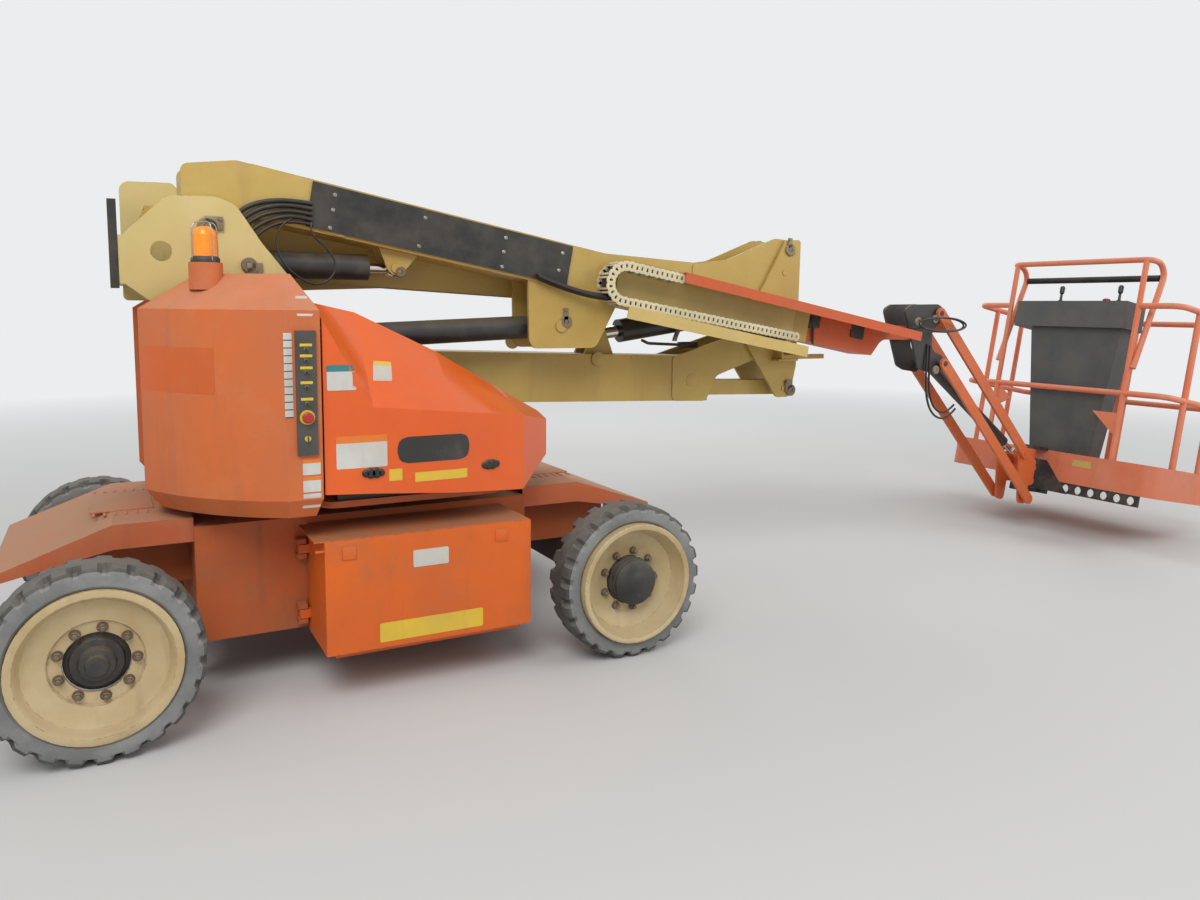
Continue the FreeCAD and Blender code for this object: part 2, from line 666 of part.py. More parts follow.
# Upper tower boom
upper_axis = ((-780.0, 1751.5), (1930.0, 1607.0))
upper_body = channel_boom(*upper_axis, upper_boom_depth, tower_boom_width, boom_wall, tower_y)
upper_root_ear = [(1880, 1730, 20), (1880, 1482, 30), (2120, 1470, 40), (2330, 1425, 50), (2372, 1500, 50),
                  (2480, 1720, 60), (2580, 1770, 60), (2600, 1880, 50), (2440, 1890, 60), (2110, 1760, 40)]
upper_tip_ear = [(-785, 1870, 30), (-785, 1625, 30), (-420, 1606, 20), (-420, 1850, 20)]
upper_boom = union(upper_body,
                   *ear_pair(upper_root_ear, tower_half, tower_y, ear_plate + boom_wall, 20),
                   *ear_pair(upper_tip_ear, tower_half, tower_y, ear_plate + boom_wall, 20))
for pin in (upper_root_pin, upper_tip_pin):
    upper_boom = upper_boom.cut(cross_pin(pin, wide, bore))
upper_boom = union(upper_boom, cross_pin(tower_barrel_pin, (tower_y - tower_half - 3, tower_y + tower_half + 3), cylinder_pin_diameter + 6))
keep("upper_boom", upper_boom)
keep("upper_link", timing_link(upper_link_tip, upper_link_root, link_width, upper_link_depth, tower_y, link_pin_diameter))

# Top upright: near, middle and far plates that carry the main boom
near_band = (boom_y - boom_width / 2 - 33, boom_y - boom_width / 2 - 17)
middle_band = (1.0, 20.0)
far_band = plate_bands[1]
near_plate = [(-708, 1893, 40), (-535, 1901, 60), (-464, 1871, 60), (-373, 1730, 40), (-274, 1603, 60),
              (-262, 1300, 60), (-398, 1280, 60), (-560, 1500, 60), (-780, 1500, 20), (-858, 1560, 10),
              (-858, 1745, 30)]
far_plate = [(-856, 1993, 40), (-655, 1999, 30), (-560, 1890, 80), (-470, 1640, 60), (-480, 1530, 20),
             (-700, 1500, 40), (-858, 1500, 20)]
top_upright = union(side_plate(near_plate, near_band), side_plate(near_plate, middle_band),
                    side_plate(far_plate, far_band),
                    block((-876, -857), (near_band[0], far_band[1]), (1560, 1740)),
                    cross_pin(boom_pivot, (near_band[0] + 2, middle_band[1] + 2), tower_pin_diameter),
                    cross_pin(lift_base_pin, (near_band[0] - 4, middle_band[1] + 2), cylinder_pin_diameter),
                    cross_pin(level_base_pin, (near_band[0] - 4, middle_band[1] + 2), cylinder_pin_diameter),
                    cross_pin(upper_tip_pin, (middle_band[0] - 2, far_band[1] + 4), tower_pin_diameter),
                    cross_pin(upper_link_tip, (middle_band[0] - 2, far_band[1] + 4), link_pin_diameter))
top_upright = top_upright.cut(cross_pin((-733, 1685), (near_band[0] - 1, near_band[1] + 1), 74))
keep("top_upright", top_upright)
keep("rear_pad", block((-906, -876 - seat_gap), (-235, -120), (1545, 1871)))

# Main boom: welded box with ears at the root that come down to the pivot
half_depth = boom_depth / 2
main_half = boom_width / 2
box_low, box_high = boom_axis_height - half_depth, boom_axis_height + half_depth


def boom_box(run, rise, y):
    points = [on_boom(run[0], rise[0]), on_boom(run[1], rise[0]), on_boom(run[1], rise[1]), on_boom(run[0], rise[1])]
    return side_plate(points, y)


root_run = 120.0
boom_wall_main = 7.0
main_tube = boom_box((root_run, boom_length), (box_low, box_high), (boom_y - main_half, boom_y + main_half))
main_bore = boom_box((root_run - 1, boom_length + 1), (box_low + boom_wall_main, box_high - boom_wall_main),
                     (boom_y - main_half + boom_wall_main, boom_y + main_half - boom_wall_main))
root_ear = [(-655, 2018, 30), (-655, 1760, 60), (-600, 1705, 60), (-520, 1700, 60), (-380, 1850, 60),
            on_boom(520, box_low + 2), on_boom(520, box_high - 2), (-457, 2046, 60)]
ears = []
for low, high in ((-main_half - 6, -main_half + boom_wall_main), (main_half - boom_wall_main, main_half + 6)):
    ears.append(side_plate(root_ear, (boom_y + low, boom_y + high)))
back_plate = block((-655, -645), (boom_y - main_half, boom_y + main_half), (1790, 1985))
pivot_tube = cross_pin(boom_pivot, (boom_y - main_half - 6, boom_y + main_half + 6), 80)
main_boom = union(main_tube.cut(main_bore), back_plate, pivot_tube, *ears)
main_boom = main_boom.cut(cross_pin(boom_pivot, (boom_y - 200, boom_y + 200), bore))
fly_half_width = main_half - boom_wall_main - fly_gap
fly_low, fly_high = box_low + boom_wall_main + fly_gap, box_high - boom_wall_main - fly_gap
pad_runs = ((boom_length - 110, boom_length - 20), (boom_length - 700, boom_length - 620))
for run in pad_runs:
    frame = boom_box(run, (box_low + 1, box_high - 1), (boom_y - main_half + 1, boom_y + main_half - 1))
    slot = boom_box((run[0] - 1, run[1] + 1), (fly_low - seat_gap, fly_high + seat_gap),
                    (boom_y - fly_half_width - seat_gap, boom_y + fly_half_width + seat_gap))
    main_boom = union(main_boom, frame.cut(slot))


def hanger(points, half, thickness, radius=0.0):
    return ear_pair(points, half, boom_y, thickness, radius)


lift_hanger = [on_boom(1370, box_low + 2), (798, 1330, 60), (820, 1296, 40), (1150, 1296, 50), (1262, 1500, 40),
               on_boom(1847, box_low + 2)]
level_hanger = [(110, 1738), (150, 1640, 34), (184, 1608, 34), (222, 1640, 34), (282, 1706)]
lift_half, lift_plate = 100.0, 17.0
lift_eye, level_eye = 100.0, 80.0
level_half, level_plate = 62.0, 14.0
boss_gap = 2.0
main_boom = union(main_boom, *hanger(lift_hanger, lift_half, lift_plate), *hanger(level_hanger, level_half, level_plate))


def bosses(pin, eye_width, half, diameter, head):
    # Boss and pin head on each side of an eye, from just beside the eye to past the outer plate.
    inner = eye_width / 2 + boss_gap
    return [cross_pin(pin, (boom_y + low, boom_y + high), diameter)
            for low, high in ((-half - head, -inner), (inner, half + head))]


pin_heads = bosses(lift_rod_pin, lift_eye, lift_half, 56, 8) + bosses(level_rod_pin, level_eye, level_half, 42, 10)
keep("main_boom", union(main_boom, *pin_heads))

# Black cover on the near side of the main boom
cover_face = boom_y - main_half - 6
keep("boom_cover", boom_box((360, 1560), (box_low + 12, box_high - 8), (cover_face - 7, cover_face - seat_gap)))

# Cable tray bolted along the near side, open towards the near side
tray_run = (1830.0, 2960.0)
tray_y = (boom_y - main_half - 160, boom_y - main_half - seat_gap)
tray_low = box_low - 40
carrier_height = 62.0
carrier_bend = 75.0
lower_rise = tray_low + 5 + seat_gap + carrier_height / 2
upper_rise = lower_rise + 2 * carrier_bend
channel_rise = upper_rise + carrier_height / 2 + 6
tray = union(boom_box(tray_run, (tray_low, channel_rise - 8), (tray_y[1] - 5, tray_y[1])),
             boom_box(tray_run, (tray_low, tray_low + 5), tray_y),
             boom_box(tray_run, (tray_low - 52, tray_low + 5), (tray_y[0], tray_y[0] + 5)))
keep("cable_tray", tray)

# Cable carrier: a lower run, a half turn and an upper run of linked frames
carrier_y = (tray_y[0] + 22, tray_y[1] - 30)
loop_run = tray_run[0] - 40
outer_r, inner_r = carrier_bend + carrier_height / 2, carrier_bend - carrier_height / 2
lower_strip = boom_box((loop_run, tray_run[1] - 60), (lower_rise - carrier_height / 2, lower_rise + carrier_height / 2), carrier_y)
upper_strip = boom_box((loop_run, loop_run + 330), (upper_rise - carrier_height / 2, upper_rise + carrier_height / 2), carrier_y)
centre = on_boom(loop_run, (lower_rise + upper_rise) / 2)
ring = cross_pin(centre, carrier_y, 2 * outer_r).cut(cross_pin(centre, (carrier_y[0] - 1, carrier_y[1] + 1), 2 * inner_r))
ring = ring.common(boom_box((loop_run - 200, loop_run), (lower_rise - 100, upper_rise + 100), (carrier_y[0] - 1, carrier_y[1] + 1)))
keep("cable_carrier", union(lower_strip, upper_strip, ring))

# Fly boom inside the main boom
fly_run = (boom_length - fly_inside, boom_length + fly_reach)
fly_wall = 7.0
fly_tube = boom_box(fly_run, (fly_low, fly_high), (boom_y - fly_half_width, boom_y + fly_half_width))
fly_bore = boom_box((fly_run[0] - 1, fly_run[1] + 1), (fly_low + fly_wall, fly_high - fly_wall),
                    (boom_y - fly_half_width + fly_wall, boom_y + fly_half_width - fly_wall))
chamfer = side_plate([on_boom(fly_run[1] - fly_slant, fly_low - 2), on_boom(fly_run[1] + 2, fly_low - 2),
                      on_boom(fly_run[1] + 2, fly_high + 2), on_boom(fly_run[1], fly_high + 2)], (boom_y - 200, boom_y + 200))
tip_half = 70.0
tip_points = [on_boom(fly_run[1] - 190, fly_low + 12), on_boom(fly_run[1] - 190, fly_high - 12),
              (*on_boom(fly_run[1] + 70, fly_high - 8), 60), (*offset(bracket_pin, (-20, 48)), 40),
              (*offset(bracket_pin, (46, 44)), 38), (*offset(bracket_pin, (46, -46)), 38), (*offset(bracket_pin, (-70, -34)), 60),
              (*on_boom(fly_run[1] - 10, fly_low + 108), 60), on_boom(fly_run[1] - 120, fly_low + 12)]
tip_plates = ear_pair(tip_points, tip_half, boom_y, 12, 0)
tip_web = boom_box((fly_run[1] - 190, fly_run[1] - 178), (fly_low + 1, fly_high - 1),
                   (boom_y - fly_half_width + 1, boom_y + fly_half_width - 1))
fly = union(fly_tube.cut(fly_bore).cut(chamfer), tip_web, *tip_plates)
fly = fly.cut(cross_pin(bracket_pin, (boom_y - 200, boom_y + 200), link_pin_diameter + 2 * pin_fit))
keep("fly_boom", fly)

# Hose channel carried by the fly, over the cable carrier
channel_run = (loop_run + 330, fly_run[1] + 90)
channel_y = (tray_y[0] + 4, boom_y - main_half - 8)
fly_side = boom_y - fly_half_width - seat_gap
saddle_run = (boom_length + 90, fly_run[1] - 20)
hose_channel = union(boom_box(channel_run, (channel_rise, channel_rise + 5), channel_y),
                     boom_box(channel_run, (channel_rise - 46, channel_rise + 5), (channel_y[0], channel_y[0] + 5)),
                     boom_box(saddle_run, (channel_rise, channel_rise + 5), (channel_y[1] - 1, fly_side)),
                     boom_box(saddle_run, (fly_high - 60, channel_rise + 5), (fly_side - 5, fly_side)))
keep("hose_channel", hose_channel)


# Hydraulic cylinders: barrel with a base eye, and a chromed rod with its own eye

rod_fit = 0.4
cylinder_foot = 40.0


def cylinder_pair(base, eye, y, barrel_radius, rod_radius, shown_rod, base_pin_diameter, eye_width, eye_radius, spare=10.0):
    # spare is how far the rod can still slide in from where it stands at rest.
    length = math.hypot(eye[0] - base[0], eye[1] - base[1])
    barrel_end = length - shown_rod
    start = along(base, eye, eye_radius * 0.7)
    end = along(base, eye, barrel_end)
    as_point = lambda p: (p[0], y, p[1])
    barrel = union(bar(as_point(start), as_point(end), barrel_radius),
                   cross_pin(base, (y - eye_width / 2, y + eye_width / 2), eye_radius * 2))
    hollow = bar(as_point(along(base, eye, barrel_radius + cylinder_foot)), as_point(along(base, eye, barrel_end + 1)),
                 rod_radius + rod_fit)
    barrel = barrel.cut(hollow).cut(cross_pin(base, (y - 200, y + 200), base_pin_diameter + 2 * pin_fit))
    rod_start = along(base, eye, barrel_radius + cylinder_foot + spare)
    rod_end = along(base, eye, length - eye_radius * 0.6)
    rod = union(bar(as_point(rod_start), as_point(rod_end), rod_radius),
                cross_pin(eye, (y - eye_width / 2, y + eye_width / 2), eye_radius * 2))
    return barrel, rod


barrel, rod = cylinder_pair(tower_barrel_pin, tower_rod_pin, tower_y, 62, 32, 150, cylinder_pin_diameter + 6, 84, 42)
keep("tower_barrel", barrel)
keep("tower_rod", rod)
barrel, rod = cylinder_pair(lift_base_pin, lift_rod_pin, boom_y, 54, 30, 130, cylinder_pin_diameter, lift_eye, 40)
keep("lift_barrel", barrel)
keep("lift_rod", rod)
barrel, rod = cylinder_pair(level_base_pin, level_rod_pin, boom_y, 56, 20, 110, cylinder_pin_diameter, level_eye, 34)
keep("level_barrel", barrel)
keep("level_rod", rod)

# Level bracket at the fly's tip: carries the jib and stays upright
bracket_inner = tip_half + 6
jib_lower_pin = offset(jib_upper_pin, jib_pin_spacing)
bracket_points = [(-288, 23, 30), (-228, 51, 30), (-8, 55, 50), (50, 25, 40), (32, -43, 30), (-50, -105, 60),
                  (-46, -225, 60), (56, -263, 30), (72, -325, 40), (12, -369, 40), (-98, -353, 40), (-156, -325, 30)]
bracket_plates = ear_pair([(*offset(jib_upper_pin, p[:2]), p[2]) for p in bracket_points], bracket_inner + 15, boom_y, 15, 0)
upper_half, upper_thick = 115.0, 18.0
lower_half, lower_thick = 139.0, 18.0
barrel_base = jib_lower_pin
jib_eye = 70.0


def full(half):
    return (boom_y - half, boom_y + half)


def stub_pins(pin, inner, outer, diameter):
    return [cross_pin(pin, (boom_y - outer, boom_y - inner), diameter), cross_pin(pin, (boom_y + inner, boom_y + outer), diameter)]


bracket = union(*bracket_plates,
                cross_pin(bracket_pin, full(bracket_inner + 16), link_pin_diameter),
                *stub_pins(jib_upper_pin, bracket_inner + 2, upper_half + 4, jib_pin_diameter),
                *stub_pins(jib_lower_pin, bracket_inner + 2, lower_half + 4, jib_pin_diameter),
                cross_pin(barrel_base, full(bracket_inner + 1), jib_pin_diameter))
keep("level_bracket", bracket)

# Jib: upper and lower links between the level bracket and the end bracket
jib_vector = (jib_length * math.cos(math.radians(jib_angle)), jib_length * math.sin(math.radians(jib_angle)))
end_upper_pin = offset(jib_upper_pin, jib_vector)
end_lower_pin = offset(jib_lower_pin, jib_vector)
platform_start = offset(end_upper_pin, platform_reach)


def flat_link(start, end, y, depth):
    direction = Vec(end[0] - start[0], 0, end[1] - start[1]).normalize()
    across = Vec(-direction.z, 0, direction.x) * (depth / 2)
    corners = [Vec(start[0], y[0], start[1]) - across, Vec(end[0], y[0], end[1]) - across,
               Vec(end[0], y[0], end[1]) + across, Vec(start[0], y[0], start[1]) + across]
    strip = Part.Face(Part.makePolygon(corners + corners[:1])).extrude(Vec(0, y[1] - y[0], 0))
    return union(strip, cross_pin(start, y, depth), cross_pin(end, y, depth))


def link_set(start, end, half, thickness, depth):
    bars = [flat_link(start, end, (boom_y + low, boom_y + high), depth)
            for low, high in ((-half, -half + thickness), (half - thickness, half))]
    hole = jib_pin_diameter + 2 * pin_fit
    return [b.cut(cross_pin(start, full(300), hole)).cut(cross_pin(end, full(300), hole)) for b in bars]


link_depth = 66.0
upper_bars = link_set(jib_upper_pin, end_upper_pin, upper_half, upper_thick, link_depth)
cross_start, cross_end = along(jib_upper_pin, end_upper_pin, 64), along(jib_upper_pin, end_upper_pin, 190)
cross_thickness = 8.0
cross_lift = link_depth / 2 - cross_thickness / 2
cross_rise = (math.sin(math.radians(-jib_angle)) * cross_lift, math.cos(math.radians(jib_angle)) * cross_lift)
web = flat_link(offset(cross_start, cross_rise), offset(cross_end, cross_rise),
                (boom_y - upper_half + 1, boom_y + upper_half - 1), cross_thickness)
keep("jib_upper_link", union(*upper_bars, web))
lower_bars = link_set(jib_lower_pin, end_lower_pin, lower_half, lower_thick, link_depth)
keep("jib_lower_link", *lower_bars)

# Jib cylinder: its barrel on the level bracket, its rod's eye at the upper pin of the far end
barrel, rod = cylinder_pair(barrel_base, end_upper_pin, boom_y, 38, 20, 120, jib_pin_diameter, jib_eye, 26, spare=62.0)
keep("jib_barrel", barrel)
keep("jib_rod", rod)

# Everything from the rotator on leans with the platform
tilt_rad = math.radians(platform_tilt)


def in_platform(x, z):
    # Rest position of a point given by its run and height from the platform's lower near edge.
    return (platform_start[0] + x * math.cos(tilt_rad) + z * math.sin(tilt_rad),
            platform_start[1] - x * math.sin(tilt_rad) + z * math.cos(tilt_rad))


def placed(shape):
    shape = shape.copy()
    shape.rotate(Vec(0, 0, 0), Vec(0, 1, 0), platform_tilt)
    shape.translate(Vec(platform_start[0], boom_y, platform_start[1]))
    return shape


rotator_x = -rotator_standoff


def in_platform_frame(point):
    # Run and height of a point as seen from the tilted platform.
    dx, dz = point[0] - platform_start[0], point[1] - platform_start[1]
    return (dx * math.cos(tilt_rad) - dz * math.sin(tilt_rad), dx * math.sin(tilt_rad) + dz * math.cos(tilt_rad))


upper_seat, lower_seat = in_platform_frame(end_upper_pin), in_platform_frame(end_lower_pin)
end_plate_points = [(*offset(upper_seat, (-42, 38)), 36), (*offset(upper_seat, (42, 38)), 30), (rotator_x, 110, 20),
                    (rotator_x, -50, 10), (*offset(lower_seat, (31, 92)), 10), (*offset(lower_seat, (31, -40)), 30),
                    (*offset(lower_seat, (-42, -40)), 36)]
end_plates = [placed(plate) for plate in ear_pair(end_plate_points, bracket_inner + 15, 0.0, 15, 0)]
rotator_body = bar((rotator_x, 0, -60), (rotator_x, 0, 190), rotator_radius)
rotator_front = rotator_x - rotator_radius
rotator_body = placed(rotator_body.cut(block((rotator_front - 1, rotator_front + rotator_flat), (-60, 60), (-61, 191))))
end_bracket = union(*end_plates,
                    rotator_body,
                    *[placed(block((rotator_x - 10, rotator_x + 30), (-bracket_inner - 2, bracket_inner + 2), band))
                      for band in ((-40, -12), (50, 78))],
                    *stub_pins(end_upper_pin, bracket_inner + 2, upper_half + 4, jib_pin_diameter),
                    *stub_pins(end_upper_pin, jib_eye / 2 + boss_gap, bracket_inner + 2, 2 * jib_pin_diameter),
                    *stub_pins(end_lower_pin, bracket_inner + 2, lower_half + 4, jib_pin_diameter))
keep("jib_end", end_bracket)

# Platform: floor and toe board
half_width = platform_width / 2
near_edge, far_edge = platform_shift - half_width, platform_shift + half_width
plan = [(0, near_edge, platform_corner), (platform_depth, near_edge, platform_corner),
        (platform_depth, far_edge, platform_corner), (0, far_edge, platform_corner)]
toe_plate = 4.0


def inset_plan(inset):
    return [(plan[0][0] + inset, plan[0][1] + inset, platform_corner - inset),
            (plan[1][0] - inset, plan[1][1] + inset, platform_corner - inset),
            (plan[2][0] - inset, plan[2][1] - inset, platform_corner - inset),
            (plan[3][0] + inset, plan[3][1] - inset, platform_corner - inset)]


gate_y = (-60.0, 470.0)
floor_height = 60.0
toe = plan_plate(plan, (0, toe_height)).cut(plan_plate(inset_plan(toe_plate), (-1, toe_height + 1)))
floor = plan_plate(inset_plan(toe_plate - 1), (floor_height, floor_height + 5))
base = union(toe, floor)
gate_gap = block((platform_depth - 50, platform_depth + 10), gate_y, (floor_height + 12, toe_height + 10))
base = base.cut(gate_gap)
keep("platform_base", placed(base))

# Rails of bent tube on upright posts
rail_r = rail_diameter / 2
post_r = post_diameter / 2


def rail_loop(z, inset, corner):
    return [(inset, near_edge + inset, z, corner), (platform_depth - inset, near_edge + inset, z, corner),
            (platform_depth - inset, far_edge - inset, z, corner), (inset, far_edge - inset, z, corner)]


rail_inset = rail_r + 4
top_z = rail_height + floor_height
mid_z = top_z - mid_drop
near_post, far_post = platform_shift - post_half, platform_shift + post_half
top_path = rail_loop(top_z, rail_inset, platform_corner - rail_inset)
top_path = [(rail_inset, near_post, top_z)] + top_path + [(rail_inset, far_post, top_z)]
loops = [tube(top_path, rail_diameter),
         tube(rail_loop(mid_z, rail_inset, platform_corner - rail_inset), rail_diameter, closed=True)]
raised_z = top_z + raise_by
posts = [bar((rail_inset, y, toe_height - 60), (rail_inset, y, raised_z), post_r) for y in (near_post, far_post)]
posts.append(bar((platform_depth - rail_inset, near_post, toe_height - 60), (platform_depth - rail_inset, near_post, top_z), post_r))
for x in (side_post_x, platform_depth - side_post_x):
    for y in (near_edge + rail_inset, far_edge - rail_inset):
        posts.append(bar((x, y, toe_height - 60), (x, y, top_z), post_r))
# The raised rail turns inwards beyond its posts and comes back down to them as a loop at each end
loop_bend = 90.0
loop_x = rail_inset + loop_reach
near_loop, far_loop = near_post - loop_outset, far_post + loop_outset
raised_path = [(rail_inset, far_loop, raised_z - loop_drop, 0), (loop_x, far_loop, raised_z, loop_bend),
               (rail_inset, far_loop, raised_z, loop_outset + 15), (rail_inset, near_loop, raised_z, loop_outset + 15),
               (loop_x, near_loop, raised_z, loop_bend), (rail_inset, near_loop, raised_z - loop_drop, 0)]
raised = tube(raised_path, rail_diameter - 1)
gussets = [cross_plate(points, (rail_inset - 4, rail_inset + 4))
           for points in ([(near_post + 10, 505), (near_post + 182, 505), (near_post + 10, 355)],
                          [(far_post - 10, 625), (far_post - 130, 530), (far_post - 10, 465)])]
rails = union(*loops, *posts, raised, *gussets)
gate_cut = block((platform_depth - 60, platform_depth + 20), (gate_y[0], gate_y[1]), (toe_height, top_z + 60))
rails = rails.cut(gate_cut)
gate_x = platform_depth - rail_inset
gate_hinge_y = gate_y[1] - 9
gate_lifts = (floor_height + 130.0, top_z - 160.0)
end_posts = [bar((gate_x, y, toe_height - 60), (gate_x, y, top_z + 4), post_r)
             for y in (gate_y[0] - rail_r, gate_y[1] + rail_r)]
gate_pins = []
for z in gate_lifts:
    gate_pins.append(bar((gate_x, gate_hinge_y, z - 4), (gate_x, gate_hinge_y, z + 64), 5))
    for low in (z - 6, z + 60):
        gate_pins.append(block((gate_x - 7, gate_x + 7), (gate_hinge_y - 7, gate_y[1] + 6), (low, low + 6)))
rails = union(rails, *end_posts, *gate_pins)
keep("platform_rails", placed(rails))

gate_bar_y = gate_hinge_y - 40
gate_free_y = gate_y[0] + 12 + rail_r
gate_foot = floor_height + 20
knuckles = []
for z in gate_lifts:
    knuckles.append(bar((gate_x, gate_hinge_y, z + 3), (gate_x, gate_hinge_y, z + 57), 8))
    knuckles.append(block((gate_x - 4, gate_x + 4), (gate_bar_y, gate_hinge_y - 2), (z + 3, z + 57)))
gate = union(bar((gate_x, gate_free_y, top_z), (gate_x, gate_bar_y, top_z), post_r - 2),
             bar((gate_x, gate_free_y, mid_z), (gate_x, gate_bar_y, mid_z), post_r - 2),
             bar((gate_x, gate_free_y, gate_foot), (gate_x, gate_free_y, top_z + rail_r), rail_r),
             bar((gate_x, gate_bar_y, gate_foot), (gate_x, gate_bar_y, top_z + rail_r), rail_r),
             block((gate_x - 3, gate_x + 3), (gate_free_y, gate_bar_y), (gate_foot, toe_height)), *knuckles)
for z in gate_lifts:
    gate = gate.cut(bar((gate_x, gate_hinge_y, z), (gate_x, gate_hinge_y, z + 60), 5 + pin_fit))
keep("platform_gate", placed(gate))

# Mount under the platform: arm from the rotator and a perforated support bar
support_bar = block((8, 28), (-710, 110), (-70, -seat_gap))
holes = [bar((0, y, -36), (40, y, -36), 27) for y in range(-660, -120, 88)]
support_bar = support_bar.cut(Part.makeCompound(holes))
arm = union(block((rotator_x, 20), (-32, 32), (-100, -72)),
            bar((rotator_x, 0, -100), (rotator_x, 0, -60 - seat_gap), rotator_radius),
            block((8, 28), (-90, 90), (-100, -60)),
            cross_plate([(-250, -74), (-65, 130), (65, 130), (65, -74)], (-5 - seat_gap, -seat_gap)),
            block((-1 - seat_gap, 9), (-150, 65), (-74, -40)))
cap = union(bar((rotator_x, 0, 190 + seat_gap), (rotator_x, 0, 215), rotator_radius), block((rotator_x, -seat_gap), (-60, 60), (192, 215)))
keep("platform_mount", placed(union(support_bar, arm)), placed(cap))

# Control console on a column that a bracket holds to the toe board, clear of the floor
console_half = 400.0
column_y = platform_shift - 40.0
column_foot = floor_height + 45.0
column_sections = ((110, 230, 210, column_foot), (46, 190, 330, top_z - 149))
console = block((2, 215), (platform_shift - console_half, platform_shift + console_half), (top_z - 149, top_z + 30))
column = Part.makeLoft([Part.makePolygon([Vec(x, column_y + y, z) for x, y in ((a, -w), (b, -w), (b, w), (a, w), (a, -w))])
                        for a, b, w, z in column_sections], True, True)
foot_bracket = block((toe_plate + seat_gap, 114), (column_y - 120, column_y + 120), (column_foot + 10, toe_height - 12))
keep("control_console", placed(union(console, column, foot_bracket)))

# Padded bar across the console, between the two loops at the middle of their bends
turn = math.pi / 2 + math.atan2(loop_reach, loop_drop)
guard_x = loop_x - loop_bend * math.tan(turn / 2) + loop_bend
guard_z = raised_z - loop_bend
guard_ends = [y + side * (rail_r + seat_gap) for y, side in ((near_loop, 1), (far_loop, -1))]
keep("guard_bar", placed(bar((guard_x, guard_ends[0], guard_z), (guard_x, guard_ends[1], guard_z), 21)))

# The whole machine is centred along X between the rear of the steered tyres and the platform's far rail
far_rail_x = in_platform(platform_depth - rail_inset, top_z)[0] + rail_r
rear_x = steer_x - tyre_diameter / 2
middle_x = (far_rail_x + rear_x) / 2

for name, shape in pieces.items():
    moved = shape.copy()
    moved.translate(Vec(-middle_x, 0, 0))
    moved.exportStep("parts/" + name + ".step")
print(len(pieces), "nodes; middle at", round(middle_x, 2))
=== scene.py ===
import json
import math

import bmesh
import bpy
from mathutils import Matrix, Vector
from mathutils.bvhtree import BVHTree

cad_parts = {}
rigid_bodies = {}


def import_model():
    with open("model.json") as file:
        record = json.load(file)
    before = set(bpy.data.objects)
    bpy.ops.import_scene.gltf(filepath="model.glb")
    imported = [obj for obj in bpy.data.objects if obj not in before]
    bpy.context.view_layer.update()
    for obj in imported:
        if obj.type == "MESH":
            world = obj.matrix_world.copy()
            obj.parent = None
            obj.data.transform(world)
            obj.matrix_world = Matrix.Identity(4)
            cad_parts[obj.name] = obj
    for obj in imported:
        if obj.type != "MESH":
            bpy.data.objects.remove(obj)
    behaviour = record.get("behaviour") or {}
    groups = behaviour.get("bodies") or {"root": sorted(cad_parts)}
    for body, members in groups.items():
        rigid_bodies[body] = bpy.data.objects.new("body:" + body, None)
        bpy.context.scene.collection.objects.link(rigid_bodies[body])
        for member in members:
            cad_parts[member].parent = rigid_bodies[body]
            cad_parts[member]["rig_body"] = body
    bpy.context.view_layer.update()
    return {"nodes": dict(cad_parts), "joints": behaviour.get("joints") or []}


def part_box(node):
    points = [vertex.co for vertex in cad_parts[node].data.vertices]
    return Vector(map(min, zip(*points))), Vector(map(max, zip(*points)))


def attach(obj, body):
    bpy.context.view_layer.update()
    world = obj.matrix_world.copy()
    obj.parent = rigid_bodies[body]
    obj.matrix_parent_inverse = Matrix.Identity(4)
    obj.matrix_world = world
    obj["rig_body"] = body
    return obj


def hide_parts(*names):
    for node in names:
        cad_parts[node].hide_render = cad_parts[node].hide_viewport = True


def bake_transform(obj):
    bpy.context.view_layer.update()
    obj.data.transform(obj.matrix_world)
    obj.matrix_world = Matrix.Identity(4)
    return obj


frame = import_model()
nodes = frame["nodes"]
joints = {joint["name"]: joint for joint in frame["joints"]}

# The camera stands low at the machine's near rear quarter, a hand-held wide view.
# Its place, turn and lens were solved from the wheels, the booms and the platform.
slew_x = joints["slew"]["pos_m"][0]
camera_place = Vector((slew_x - 0.925, -4.0604, 1.4916))
camera_yaw, camera_pitch, camera_roll = 0.5007, 0.1100, 0.0102
ahead = Vector((math.sin(camera_yaw) * math.cos(camera_pitch),
                math.cos(camera_yaw) * math.cos(camera_pitch), -math.sin(camera_pitch)))
level_right = Vector((math.cos(camera_yaw), -math.sin(camera_yaw), 0.0))
level_up = level_right.cross(ahead)
right = level_right * math.cos(camera_roll) + level_up * math.sin(camera_roll)
up = level_up * math.cos(camera_roll) - level_right * math.sin(camera_roll)
lens = bpy.data.cameras.new("photo_lens")
lens.lens = 27.0
lens.sensor_width = 36.0
lens.shift_y = -0.0362
camera = bpy.data.objects.new("photo_camera", lens)
camera.matrix_world = Matrix((right, up, -ahead)).transposed().to_4x4()
camera.location = camera_place
bpy.context.scene.collection.objects.link(camera)
bpy.context.scene.camera = camera
bpy.context.scene.view_settings.view_transform = "Standard"


# Hydraulic hoses and control cables: black rubber and PVC, each from one port or clamp to
# another. Their routes are control points in millimetres from the slew axis.
def at(x, y, z):
    return Vector((slew_x + x / 1000, y / 1000, z / 1000))


def tone(red, green, blue):
    # A display colour from 0 to 255 as the linear value that a shader takes
    return (*[c / 255 / 12.92 if c < 11 else ((c / 255 + 0.055) / 1.055) ** 2.4 for c in (red, green, blue)], 1.0)


def new_finish(name):
    finish = bpy.data.materials.new(name)
    finish.use_nodes = True
    return finish, finish.node_tree, finish.node_tree.nodes["Principled BSDF"]


